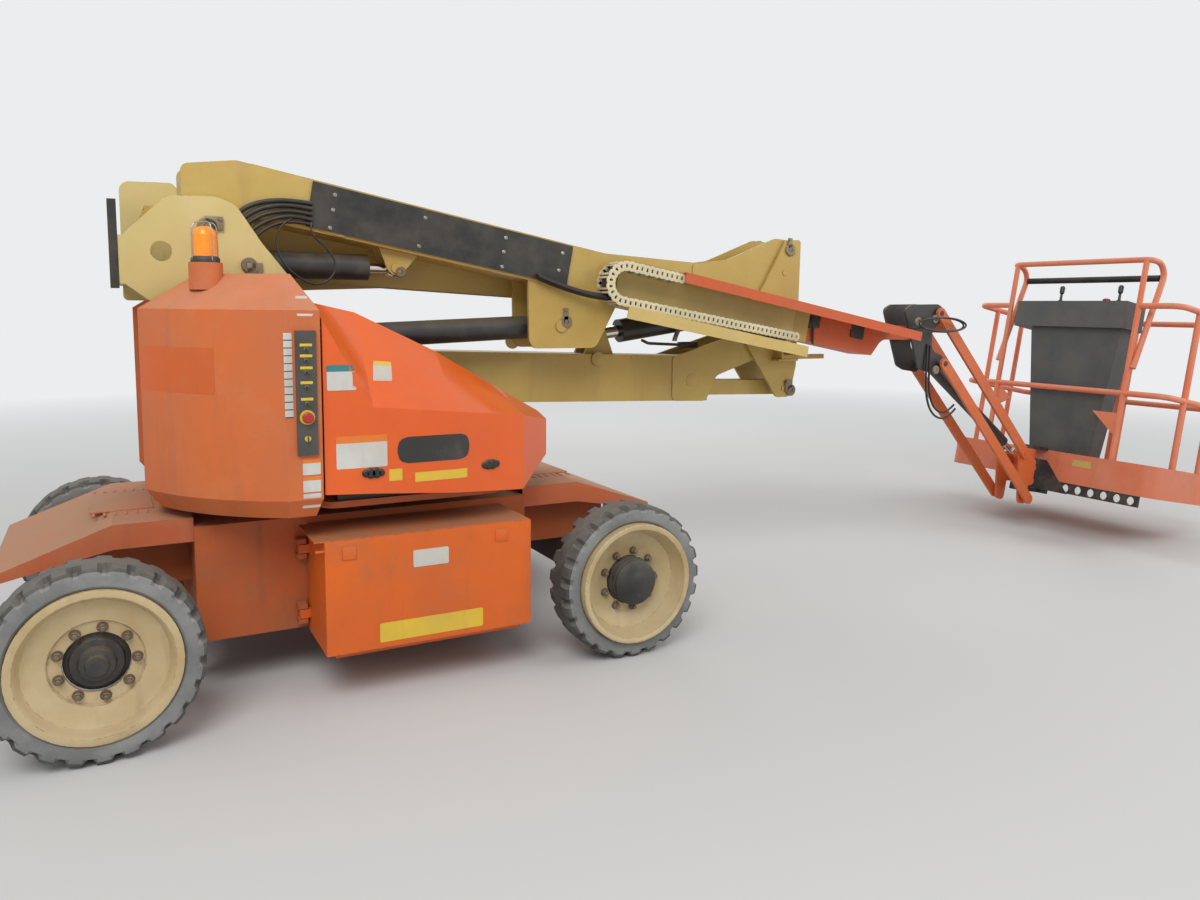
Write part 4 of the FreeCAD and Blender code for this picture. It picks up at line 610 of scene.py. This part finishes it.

# Tyres: solid rubber, pressed on the wheels. Lugs with open shoulders stand round the tread,
# dust lies on the grey walls, and the treads are worn dark.
tyre_rubber = paint("tyre_wall", (112, 113, 112), (142, 143, 141), 0.8, wear=0.25, spots=0.0, dust=0.35, streaks=0.15, scale=2.0,
                    under=(84, 84, 82), dirt=(92, 90, 86), dust_colour=(168, 164, 154), relief=0.001)
tread_rubber = paint("tyre_tread", (64, 64, 62), (92, 92, 89), 0.85, wear=0.4, spots=0.0, dust=0.5, streaks=0.2, scale=3.0,
                     under=(40, 40, 39), dirt=(70, 68, 64), dust_colour=(132, 128, 118), relief=0.002)
lug_count, lug_cells = 24, 6
wall_profile = ((256, 60), (258, 78), (266, 85), (284, 88), (300, 87))
for axle, x in (("steer", -1000), ("drive", 1000)):
    for side, sign in (("near", -1), ("far", 1)):
        form = bmesh.new()
        centre = (low_high[0] + low_high[1]) / 2 if (low_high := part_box("tyre_%s_%s" % (axle, side))) else None
        rings = []
        for k in range(lug_count * lug_cells):
            angle = math.tau * k / (lug_count * lug_cells)
            ring = []
            for face in (1, -1):
                phase = k % lug_cells if face > 0 else (k + lug_cells // 2) % lug_cells
                open_here = phase < 2
                edge_in = 14 if open_here else 0
                depth = 17 if open_here else 0
                points = [(r, w * face) for r, w in wall_profile]
                points += [(314 - edge_in * 0.6, (85 - edge_in) * face), (325 - depth, (79 - edge_in) * face), (329 - depth, (60 - depth) * face),
                           (329.5, 34 * face)]
                ring += points if face > 0 else points[::-1]
            rings.append([form.verts.new(centre + Vector((r / 1000 * math.cos(angle), w / 1000, r / 1000 * math.sin(angle)))) for r, w in ring])
        for ring, after in zip(rings, rings[1:] + rings[:1]):
            for i in range(len(ring)):
                j = (i + 1) % len(ring)
                cell = form.faces.new((ring[i], ring[j], after[j], after[i]))
                cell.material_index = 1 if 5 <= i <= 11 else 0
        make("tread_%s_%s" % (axle, side), form, [tyre_rubber, tread_rubber], "wheel_%s_%s" % (axle, side),
             ("tyre_%s_%s" % (axle, side),), 24)

# Wheels: pressed steel dishes in worn beige, nine nuts each. The steered hubs sit deep behind a
# round opening, and the driven ones carry the black ribbed drum of a gearbox.
wheel_paint = paint("wheel_beige", (196, 176, 136), (180, 156, 112), 0.5, wear=0.9, spots=0.35, dust=0.5, streaks=0.5, scale=1.6,
                    under=(128, 84, 56), dirt=(134, 96, 66), dust_colour=(172, 150, 118))
hub_black = paint("hub_black", (38, 37, 36), (58, 56, 53), 0.5, wear=0.5, dust=0.5, scale=2.0, under=(120, 104, 88), dust_colour=(118, 106, 90))
nut_steel = paint("nut_steel", (132, 118, 100), (108, 86, 66), 0.45, wear=0.3, dust=0.4, metallic=0.6, under=(96, 66, 48))
for axle, x in (("steer", -1000), ("drive", 1000)):
    for side, sign in (("near", -1), ("far", 1)):
        low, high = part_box("wheel_%s_%s" % (axle, side))
        outer = (low.y if sign < 0 else high.y) * 1000
        inner = (high.y if sign < 0 else low.y) * 1000
        axis = (0, sign, 0)
        run = abs(outer - inner)
        body = "wheel_%s_%s" % (axle, side)
        form = bmesh.new()
        if axle == "steer":
            dish = [(100, run - 66), (120, run - 64), (138, run - 62), (143, run - 52), (150, run - 50), (196, run - 46), (214, run - 38), (222, run - 22),
                    (226, run - 8), (232, run - 1), (250, run), (256, run - 2), (256, 4), (250, 0), (224, 0), (214, 12), (206, run - 60),
                    (150, run - 64), (140, run - 76), (100, run - 78)]
        else:
            dish = [(104, run - 92), (140, run - 90), (150, run - 84), (206, run - 70), (222, run - 40), (230, run - 14), (234, run - 3), (250, run),
                    (256, run - 2), (256, 4), (250, 0), (226, 0), (216, 12), (198, run - 82), (140, run - 104), (104, run - 104)]
        add_turned(form, dish, (x, inner, 330), axis, 56)
        make("wheel_dish_" + axle + "_" + side, form, [wheel_paint], body, ("wheel_%s_%s" % (axle, side),), 28)
        form = bmesh.new()
        if axle == "steer":
            add_turned(form, [(0, run - 100), (99, run - 100), (99, run - 84), (84, run - 80), (78, run - 58), (58, run - 54), (52, run - 34), (36, run - 30),
                              (32, run - 18), (14, run - 15), (0, run - 15)], (x, inner, 330), axis, 28)
            add_turned(form, [(0, 0), (70, 0), (70, run - 101), (0, run - 101)], (x, inner, 330), axis, 20)
            nut_foot, nut_ring = run - 64, 0.117
        else:
            add_turned(form, [(0, 0), (102, 0), (103, run - 70), (94, run - 66), (94, run - 58), (98, run - 55), (98, run - 47), (92, run - 44), (92, run - 34),
                              (96, run - 31), (96, run - 23), (88, run - 18), (60, run - 8), (34, run - 4), (30, run - 2), (0, run - 2)],
                       (x, inner, 330), axis, 32)
            nut_foot, nut_ring = run - 90, 0.125
        make("hub_" + axle + "_" + side, form, [hub_black], body)
        repeat("wheel_nuts_%s_%s" % (axle, side), "ring", wheel_nut, nut_steel, facing_matrix((x, inner + sign * nut_foot, 330), axis), body, "dark_steel",
               Count=9, Radius=nut_ring)

# Battery boxes: folded sheet steel trays with lids, one on each side, swinging out on a hinge.
box_paint = paint("box_orange", (218, 98, 14), (202, 92, 28), 0.5, dust=0.85, wear=0.6, spots=0.2, streaks=0.4, dust_colour=(150, 104, 72))
label_white = paint("label_white", (204, 202, 196), (188, 184, 174), 0.5, wear=0.1, spots=0.25, dust=0.4, under=(150, 140, 124))
label_yellow = paint("label_yellow", (226, 190, 52), (208, 172, 56), 0.5, wear=0.1, spots=0.2, dust=0.4, under=(160, 120, 70))
label_orange = paint("label_orange", (226, 120, 30), (214, 116, 40), 0.5, wear=0.1, spots=0.1, dust=0.3)
label_black = paint("label_black", (36, 35, 34), (48, 46, 44), 0.45, wear=0.1, spots=0.1, dust=0.35)
cell_grey = paint("cell_grey", (84, 82, 80), (100, 96, 90), 0.55, dust=0.5, wear=0.2)
dress(box_paint, "battery_box_near", "battery_box_far")
dress(cell_grey, "battery_cells_near", "battery_cells_far")
for side, sign in (("near", -1), ("far", 1)):
    form = bmesh.new()
    add_block(form, (-300, sign * 786 - 6, 596), (540, sign * 786 + 6, 604), 1.5)
    add_block(form, (-304, sign * 640 - 150, 632), (544, sign * 640 + 150, 637), 2)
    for x in (-180, 420):
        add_block(form, (x - 26, sign * 795 - 5, 560), (x + 26, sign * 795 + 5, 612), 3)
    make("battery_lid_" + side, form, [box_paint], "battery_" + side)
    turned_corners = (lambda quad: quad if sign < 0 else [quad[1], quad[0], quad[3], quad[2]])
    label("battery_plate_" + side, "battery_box_" + side,
          turned_corners([(-72, sign * 795, 226), (340, sign * 795, 226), (340, sign * 795, 300), (-72, sign * 795, 300)]),
          (0, sign, 0), [(1.0, label_yellow)], "orange", 6)
    label("battery_label_" + side, "battery_box_" + side,
          turned_corners([(60, sign * 795, 500), (200, sign * 795, 500), (200, sign * 795, 566), (60, sign * 795, 566)]),
          (0, sign, 0), [(1.0, label_white)], "cream_plastic", 6)

# Turntable: a welded tub on the slew ring that carries both towers, the hoods and two cast
# counterweights. Its steel is orange, and the space under the hoods holds pumps and a charger.
turntable_paint = paint("turntable_orange", (206, 98, 46), (180, 96, 56), 0.55, dust=0.6, wear=0.5, spots=0.25)
weight_paint = paint("weight_orange", (206, 104, 46), (190, 102, 58), 0.6, wear=0.5, spots=0.45, dust=0.45, streaks=0.45, scale=0.8,
                     under=(108, 78, 62), dirt=(122, 86, 66), dust_colour=(196, 150, 120), relief=0.0014)
machine_grey = paint("machine_grey", (70, 68, 66), (92, 88, 82), 0.6, dust=0.6, wear=0.4)
bright_patch = paint("bright_patch", (206, 90, 16), (198, 90, 26), 0.5, wear=0.1, spots=0.2, dust=0.25)
dress(turntable_paint, "turntable_frame")
dress(weight_paint, "counterweight_near", "counterweight_far")
dress(machine_grey, "machinery")
label("weight_patch", "counterweight_near", [(-821, -344, 1176), (-602, -655, 1172), (-602, -655, 1336), (-821, -344, 1336)], (-0.6, -0.8, 0),
      [(1.0, bright_patch)], "faded_orange", 4, lift=0.8, cells=12)
cells = [(round((k + share) / 11, 4), finish) for k in range(11) for share, finish in ((0.86, label_white), (1.0, label_black))]
label("weight_strip", "counterweight_near", [(-392, -800, 1095), (-364, -800, 1095), (-364, -800, 1392), (-392, -800, 1392)], (0, -1, 0),
      cells, "cream_plastic", 2)
for number, (low_z, high_z, head) in enumerate(((888, 944, label_orange), (826, 882, label_orange), (764, 820, label_white))):
    label("weight_label_%d" % number, "counterweight_near",
          [(-338, -800, low_z), (-276, -800, low_z), (-276, -800, high_z), (-338, -800, high_z)],
          (0, -1, 0), [(0.25, head), (1.0, label_white)], "cream_plastic", 3)
label("weight_notice", "counterweight_near", [(-345, -795, 1445), (-290, -795, 1445), (-284, -735, 1520), (-337, -735, 1520)], (0, -0.7, 0.7),
      [(1.0, label_white)], "cream_plastic", 5)

# Ground control panel: a grey plate with a red stop button, a key switch and toggle switches.
panel_grey = moulded("panel_grey", (62, 61, 60), 0.45, 0.4)
stop_red = moulded("stop_red", (176, 28, 24), 0.3, 0.25)
warning_yellow = moulded("warning_yellow", (222, 184, 40), 0.4, 0.3)
dress(panel_grey, "control_panel")
form = bmesh.new()
for z in (1350, 1312, 1270, 1218, 1160):
    add_block(form, (-340, -814, z - 5), (-298, -811, z + 5), 1, 1)
    add_turned(form, [(0, 0), (9, 0), (9, 3), (4, 5), (3, 20), (0, 22)], (-319, -812, z - 16), (0, -1, 0.25), 12, 0)
add_turned(form, [(0, 0), (26, 0), (26, 3), (0, 3)], (-320, -812, 1096), (0, -1, 0), 20, 1)
add_turned(form, [(0, 2), (12, 2), (12, 12), (20, 14), (20, 22), (15, 26), (0, 27)], (-320, -812, 1096), (0, -1, 0), 20, 2)
add_turned(form, [(0, 0), (11, 0), (11, 5), (8, 6), (0, 6)], (-320, -812, 1020), (0, -1, 0), 14, 1)
add_block(form, (-322, -826, 1008), (-318, -817, 1032), 1, 0)
make("panel_switches", form, [panel_grey, warning_yellow, stop_red], "turntable")

# Beacon: an amber lens on a black foot, with a wire guard over it.
amber_lens, lens_tree, lens_shader = new_finish("amber_lens")
lens_noise = add_node(lens_tree, "ShaderNodeTexNoise", {}, {"Scale": 60.0, "Detail": 3.0})
lens_tree.links.new(lens_tree.nodes.new("ShaderNodeTexCoord").outputs["Object"], lens_noise.inputs["Vector"])
lens_tree.links.new(blend_colours(lens_tree, lens_noise.outputs[0], tone(232, 120, 20), tone(248, 150, 40)), lens_shader.inputs["Base Color"])
lens_shader.inputs["Roughness"].default_value = 0.18
lens_shader.inputs["Emission Strength"].default_value = 0.25
lens_shader.inputs["Emission Color"].default_value = tone(240, 130, 20)
beacon_x, beacon_y = -600, -470
form = bmesh.new()
add_turned(form, [(0, 1639), (50, 1639), (50, 1652), (44, 1660), (0, 1660)], (beacon_x, beacon_y, 0), (0, 0, 1), 28, 1)
lens_profile = [(0, 1660), (40, 1660)]
for ring in range(9):
    lens_profile += [(41, 1664 + ring * 9), (39, 1668.5 + ring * 9)]
lens_profile += [(37, 1750), (28, 1762), (14, 1768), (0, 1769)]
add_turned(form, lens_profile, (beacon_x, beacon_y, 0), (0, 0, 1), 32, 0)
make("beacon_lamp", form, [amber_lens, black_paint], "turntable", ("beacon",), 50)
for number, turn in enumerate((0.4, 0.4 + math.pi / 2)):
    guard = bpy.data.curves.new("beacon_guard_%d" % number, "CURVE")
    guard.dimensions = "3D"
    wire = guard.splines.new("NURBS")
    stops = [(-48, 1645), (-49, 1700), (-47, 1776), (-16, 1784), (16, 1784), (47, 1776), (49, 1700), (48, 1645)]
    wire.points.add(len(stops) - 1)
    for point, (out, z) in zip(wire.points, stops):
        point.co = (*at(beacon_x + out * math.cos(turn), beacon_y + out * math.sin(turn), z), 1.0)
    wire.order_u = 3
    wire.use_endpoint_u = True
    guard.bevel_depth = 0.0025
    guard.materials.append(bright_steel)
    bent = bpy.data.objects.new("beacon_guard_%d" % number, guard)
    bpy.context.scene.collection.objects.link(bent)
    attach(bent, "turntable")

# Hoods: glossy moulded covers, one on each side, hinged at the top and held by black latches.
hood_gloss = paint("hood_gloss", (226, 92, 0), (216, 84, 2), 0.3, coat=0.4, wear=0.25, spots=0.08, dust=0.16, streaks=0.12,
                   under=(180, 84, 40), dust_colour=(186, 118, 74), relief=0.0003)
label_teal = paint("label_teal", (44, 120, 126), (60, 128, 130), 0.5, wear=0.1, spots=0.1, dust=0.3)
latch_black = moulded("latch_black", (24, 24, 24), 0.3, 0.25)
dress(hood_gloss, "hood_near", "hood_far")
for side, sign in (("near", -1), ("far", 1)):
    def sheet_corners(x0, x1, z0, z1, y):
        return [(x0, sign * y, z0), (x1, sign * y, z0), (x1, sign * y, z1), (x0, sign * y, z1)]

    node = "hood_" + side
    outward = (0, sign, 0.05)
    label("hood_notice_%s_1" % side, node, sheet_corners(-244, -140, 1184, 1276, 785), outward, [(0.26, label_teal), (1.0, label_white)], "cream_plastic", 6, cells=14, lift=1.8)
    slope = [(-60, 709, 1209), (16, 696, 1205), (30, 633, 1273), (-43, 649, 1280)]
    slope = slope if sign < 0 else [slope[1], slope[0], slope[3], slope[2]]
    label("hood_notice_%s_2" % side, node, [(x, sign * y, z) for x, y, z in slope], (0.17, 0.77 * sign, 0.62),
          [(0.22, label_yellow), (1.0, label_white)], "cream_plastic", 5)
    label("hood_notice_%s_3" % side, node, sheet_corners(-216, -30, 896, 1016, 785), outward, [(0.22, label_orange), (1.0, label_white)], "cream_plastic", 6)
    label("hood_pill_" + side, node, sheet_corners(10, 300, 900, 1000, 780), outward, [(1.0, label_black)], "black_plastic", 40, cells=20, lift=1.8)
    label("hood_square_" + side, node, sheet_corners(-24, 26, 838, 882, 785), outward, [(1.0, label_yellow)], "cream_plastic", 3)
    label("hood_strip_" + side, node, sheet_corners(76, 290, 826, 862, 785), outward, [(1.0, label_yellow)], "cream_plastic", 2, cells=16, lift=1.8)
    form = bmesh.new()
    for x, y, z in ((-85, 782, 874), (397, 733, 863)):
        for run, radius in ((-26, 14), (-8, 20), (12, 20), (30, 14)):
            add_turned(form, [(0, -4), (radius, -4), (radius, 5), (radius - 5, 10), (0, 10)], (x + run, sign * (y - run * (0.27 if x > 0 else 0)), z), (0, sign, 0), 20)
    make("hood_latches_" + side, form, [latch_black], "hood_" + side)

# Tower: two box booms with a parallel link inside each, joined by three uprights. Khaki paint,
# rubbed by hoses and yard dust, with pins held by bolted keeper plates and plug-weld discs.
khaki = paint("khaki_paint", (190, 162, 86), (176, 144, 70), 0.5, wear=0.5, spots=0.3, dust=0.4, streaks=0.4, scale=0.7,
              under=(120, 88, 60), dirt=(134, 114, 78), dust_colour=(188, 172, 140))
khaki_pale = paint("khaki_pale", (206, 186, 124), (192, 170, 104), 0.5, wear=0.6, spots=0.3, dust=0.35, streaks=0.35, scale=0.7,
                   under=(124, 96, 70), dirt=(140, 122, 90), dust_colour=(190, 176, 148))
pin_steel = paint("pin_steel", (138, 126, 104), (112, 98, 78), 0.5, wear=0.4, dust=0.5, metallic=0.5, under=(96, 74, 56))
dress(khaki, "lower_boom", "upper_boom", "lower_link", "upper_link", "mid_upright", "main_boom")
dress(khaki_pale, "top_upright")


def pin_head(form, foot, axis, radius, keeper=None):
    add_turned(form, [(0, -2), (radius, -2), (radius, 5), (radius - 3, 8), (radius * 0.4, 8), (radius * 0.36, 5), (0, 5)], foot, axis, 24)
    if keeper:
        side = 1 if axis[1] > 0 else -1
        x, z = foot[0] + keeper[0], foot[2] + keeper[1]
        add_block(form, (min(foot[0], x) - 9, foot[1] + side * 5 - 3, min(foot[2], z) - 9), (max(foot[0], x) + 9, foot[1] + side * 5 + 3, max(foot[2], z) + 9), 1.5)
        add_turned(form, [(0, 7), (9, 7), (9, 13), (7.5, 14), (0, 14)], (x, foot[1], z), axis, 6)


for name, body, heads in (
        ("mid_upright_pins", "mid_upright", (((2533, 6, 1828), (0, -1, 0), 34, (-12, 58)), ((2568, 6, 1021), (0, -1, 0), 34, (-36, 54)),
                                             ((2533, 274, 1828), (0, 1, 0), 34, (-12, 58)), ((2568, 274, 1021), (0, 1, 0), 34, (-36, 54)))),
        ("top_upright_pins", "top_upright", (((-424, -262, 1642), (0, -1, 0), 30, (42, -30)), ((-570, -262, 1780), (0, -1, 0), 38, (48, 34)),
                                             ((-424, 274, 1642), (0, 1, 0), 30, (42, -30)))),
        ("main_boom_pins", "main_boom", (((988, -221, 1420), (0, -1, 0), 30, (-6, 57)), ((202, -186, 1634), (0, -1, 0), 24, None)))):
    form = bmesh.new()
    for foot, axis, radius, keeper in heads:
        pin_head(form, foot, axis, radius, keeper)
    make(name, form, [pin_steel], body)
form = bmesh.new()
for x, z in ((1889, 1098), (1300, 1225), (820, 1322)):
    add_turned(form, [(0, -1), (38, -1), (38, 1.5), (35, 3), (0, 3)], (x, 30, z), (0, -1, 0), 28)
make("lower_boom_plugs", form, [khaki], "lower_boom")
form = bmesh.new()
add_block(form, (2420, -62, 1196), (2560, 9, 1208), 2)
add_block(form, (2440, -62, 1200), (2452, 9, 1290), 2)
add_block(form, (2452, -56, 1206), (2760, -26, 1232), 2)
make("boom_rest", form, [khaki], "mid_upright")
pad_rubber = moulded("pad_rubber", (40, 39, 38), 0.7, 0.5)
dress(pad_rubber, "rear_pad")

# Main boom: a box of khaki plate with a black cover screwed over its near side and a folded
# tray beneath the hoses; the telescope's cable chain lies in the tray.
cover_black = moulded("cover_black", (30, 30, 29), 0.42, 0.4, 120.0)
tray_cream = paint("tray_khaki", (204, 178, 108), (190, 162, 90), 0.45, wear=0.6, spots=0.3, dust=0.35, streaks=0.3, under=(130, 104, 76), dirt=(150, 134, 104))
link_cream = moulded("link_cream", (212, 200, 162), 0.45, 0.5)
dress(cover_black, "boom_cover")
dress(tray_cream, "cable_tray")
carrier_turn, carrier_radius, carrier_slope = Vector((1238, 1602)), 84, math.radians(9.5)
run_way = Vector((-math.cos(carrier_slope), math.sin(carrier_slope)))
under = Vector((-run_way.y, -math.cos(carrier_slope)))
carrier_line = [Vector((2268, 1348))]
for step in range(13):
    swing = math.pi * step / 12
    carrier_line.append(carrier_turn + (under * math.cos(swing) + run_way * math.sin(swing)) * carrier_radius)
carrier_line.append(Vector((1536, 1637)))
route = bpy.data.curves.new("carrier_line", "CURVE")
route.dimensions = "3D"
track = route.splines.new("POLY")
track.points.add(len(carrier_line) - 1)
for point, place in zip(track.points, carrier_line):
    point.co = (*at(place.x, -309, place.y), 1.0)
carrier_route = bpy.data.objects.new("carrier_line", route)


def carrier_link(form):
    for side in (-1, 1):
        for x in (-15, 15):
            add_turned(form, [(9, 43), (24, 43), (25, 46), (24, 50), (14, 52), (9, 50)], (x, 0, 0), (0, side, 0), 14)
    for x in (-9, 9):
        add_block(form, (x - 5, -46, 18), (x + 5, 46, 23), 1)
        add_block(form, (x - 5, -46, -23), (x + 5, 46, -18), 1)


repeat("carrier_links", "path", template(carrier_link), link_cream, Matrix(), "main_boom", "cream_plastic", Count=29, Route=carrier_route)
for number, y in enumerate((-334, -310, -286)):
    inner_hose = bpy.data.curves.new("carrier_hose_%d" % number, "CURVE")
    inner_hose.dimensions = "3D"
    line = inner_hose.splines.new("NURBS")
    line.points.add(len(carrier_line) - 1)
    for point, place in zip(line.points, carrier_line):
        point.co = (*at(place.x, y, place.y), 1.0)
    line.order_u = 3
    line.use_endpoint_u = True
    inner_hose.bevel_depth = 0.01
    inner_hose.use_fill_caps = True
    inner_hose.materials.append(hose_rubber)
    inner = bpy.data.objects.new("carrier_hose_%d" % number, inner_hose)
    bpy.context.scene.collection.objects.link(inner)
    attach(inner, "main_boom")
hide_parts("cable_carrier")
form = bmesh.new()
for x, z in ((-81, 1937), (-90, 1876), (-104, 1803), (674, 1798), (664, 1735), (655, 1668), (300, 1866), (270, 1744), (960, 1740), (940, 1660)):
    add_turned(form, [(0, -1), (9, -1), (9, 2), (6, 4.5), (0, 5)], (x, -238, z), (0, -1, 0), 12)
make("cover_screws", form, [bright_steel], "main_boom")

# Fly boom: the telescoping inner box, orange, with the channel that carries its hoses.
fly_orange = paint("fly_orange", (202, 84, 30), (188, 84, 38), 0.5, wear=0.5, spots=0.25, dust=0.4, streaks=0.4, under=(120, 84, 64), dust_colour=(188, 140, 112))
dress(fly_orange, "fly_boom", "hose_channel")
# The black plate over the opening in the fly's side is painted shade: it stands for the dark inside of the hole.
form = bmesh.new()
add_plate(form, [(2806, 1344), (2814, 1334), (2896, 1320), (2905, 1328), (2916, 1418), (2909, 1428), (2826, 1443), (2817, 1436)], -219, -211)
make("fly_opening", form, [label_black], "fly")
form = bmesh.new()
add_block(form, (2490, -222, 1388), (2570, -210, 1462), 3)
add_turned(form, [(0, 0), (30, 0), (30, 8), (26, 13), (0, 13)], (2530, -220, 1424), (0, -1, 0), 24)
add_rod(form, (2520, -222, 1300), (2520, -222, 1400), 7, 10)
make("fly_clamp", form, [black_paint], "fly")
form = bmesh.new()
for x, z in ((2700, 1440), (2760, 1428), (3060, 1372), (3120, 1360)):
    add_turned(form, [(0, -1), (12, -1), (12, 1.5), (9.5, 2), (9.5, 8), (8, 9.5), (0, 9.5)], (x, -212, z), (0, -1, 0), 6)
make("fly_bolts", form, [pin_steel], "fly")

# Hydraulic cylinders: black barrels with a gland ring, ports and pipes, and chromed rods.
barrel_black = paint("barrel_black", (34, 34, 33), (50, 49, 47), 0.4, coat=0.1, wear=0.5, spots=0.3, dust=0.5, under=(112, 96, 80), dust_colour=(120, 108, 90))
chrome_rod, chrome_tree, chrome_shader = new_finish("chrome_rod")
chrome_mask = add_node(chrome_tree, "ShaderNodeGroup", {"node_tree": weathering}, {"Scale": 6.0, "Edge Wear": 0.0, "Spots": 0.1, "Dust": 0.25})
chrome_tree.links.new(blend_colours(chrome_tree, chrome_mask.outputs["Dust Mask"], tone(214, 214, 212), tone(150, 142, 130)), chrome_shader.inputs["Base Color"])
chrome_tree.links.new(spread(chrome_tree, chrome_mask.outputs["Fade"], 0.0, 1.0, 0.1, 0.22), chrome_shader.inputs["Roughness"])
chrome_shader.inputs["Metallic"].default_value = 1.0
dress(barrel_black, "tower_barrel", "lift_barrel", "level_barrel", "jib_barrel")
dress(chrome_rod, "tower_rod", "lift_rod", "level_rod", "jib_rod")

form = bmesh.new()
add_rod(form, (1600, 96, 1318), (1640, 92, 1300), 8, 10)
add_rod(form, (1640, 92, 1300), (1850, 92, 1290), 8, 10)
add_block(form, (1840, 80, 1272), (1960, 112, 1306), 3)
make("tower_pipe", form, [barrel_black], "tower_barrel")

# Level bracket: two black plates with a boot on top, between the fly and the jib.
bracket_black = paint("bracket_black", (40, 39, 38), (56, 54, 51), 0.5, wear=0.7, spots=0.4, dust=0.55, under=(118, 102, 86), dust_colour=(126, 114, 96))
dress(bracket_black, "level_bracket")
form = bmesh.new()
for foot in ((3299, -258, 1425), (3441, -258, 1550 - 110), (3467, -258, 1135)):
    pin_head(form, (foot[0], -260, foot[2]), (0, -1, 0), 26, None)
make("bracket_pins", form, [pin_steel], "bracket")

# Jib: four flat orange bars on through pins, with the cylinder between them.
jib_paint = paint("jib_paint", (206, 98, 44), (190, 100, 60), 0.5, wear=0.7, spots=0.4, dust=0.4, streaks=0.5, under=(116, 88, 70), dirt=(122, 88, 68),
                  dust_colour=(196, 156, 130))
dress(jib_paint, "jib_upper_link", "jib_lower_link", "jib_end")

# Platform: a steel floor in a folded toe board with rails of bent tube. The orange is rubbed
# pink by boots and gloves, with rust at the chips.
toe_paint = paint("toe_paint", (208, 112, 76), (198, 118, 88), 0.5, wear=0.8, spots=0.45, dust=0.4, streaks=0.5, under=(112, 74, 58), dirt=(130, 88, 68),
                  dust_colour=(206, 164, 140))
rail_paint = paint("rail_paint", (216, 112, 72), (208, 126, 94), 0.45, wear=0.5, spots=0.5, dust=0.3, streaks=0.4, under=(120, 82, 66), dirt=(140, 96, 76),
                   dust_colour=(214, 172, 150), scale=1.5)
mount_black = paint("mount_black", (36, 35, 34), (54, 52, 49), 0.5, wear=0.6, spots=0.3, dust=0.5, under=(120, 102, 86))
dress(toe_paint, "platform_base")
dress(rail_paint, "platform_rails", "platform_gate")
dress(mount_black, "platform_mount")


def on_platform(x, y, z):
    lean = math.radians(10)
    return (4670.05 + x * math.cos(lean) + z * math.sin(lean), y - 120, 352.05 - x * math.sin(lean) + z * math.cos(lean))


label("toe_plate", "platform_base", [on_platform(0, -380, 120), on_platform(0, -250, 120), on_platform(0, -250, 164), on_platform(0, -380, 164)],
      (-1, 0, 0.17), [(1.0, khaki)], "cream", 4)

form = bmesh.new()
for y in (-492, 442):
    middle = Vector(on_platform(5, y, 168))
    half = Vector((3, 24, 26))
    add_block(form, middle - half, middle + half, 1, 0, Matrix.Rotation(math.radians(10), 4, "Y"))
make("post_feet", form, [rail_paint], "platform")

# Console: a slate-grey control box on a moulded column, with a joystick and a stop button, and
# a foam sleeve on the bar above it.
console_slate = moulded("console_slate", (66, 69, 70), 0.5, 0.35, 160.0)
foam_black = moulded("foam_black", (24, 23, 23), 0.75, 0.25, 500.0, 0.0012)
dress(console_slate, "control_console")
dress(foam_black, "guard_bar")
upward = (math.sin(math.radians(10)), 0, math.cos(math.radians(10)))
console_top = 1205 + 30
form = bmesh.new()
for y in (-300, 120):
    add_turned(form, [(0, -2), (34, -2), (34, 4), (26, 10), (20, 12), (16, 22), (9, 26), (8, 66), (15, 74), (17, 110), (12, 122), (0, 126)],
               on_platform(110, y, console_top), upward, 20)
for k in range(5):
    add_turned(form, [(0, -1), (9, -1), (9, 3), (4, 5), (3, 18), (0, 20)], on_platform(150, -190 + 46 * k, console_top), upward, 10)
make("console_sticks", form, [latch_black], "platform")
form = bmesh.new()
add_turned(form, [(0, -1), (14, -1), (14, 10), (24, 12), (24, 20), (18, 25), (0, 26)], on_platform(70, -240, console_top), upward, 20)
make("console_stop", form, [stop_red], "platform")
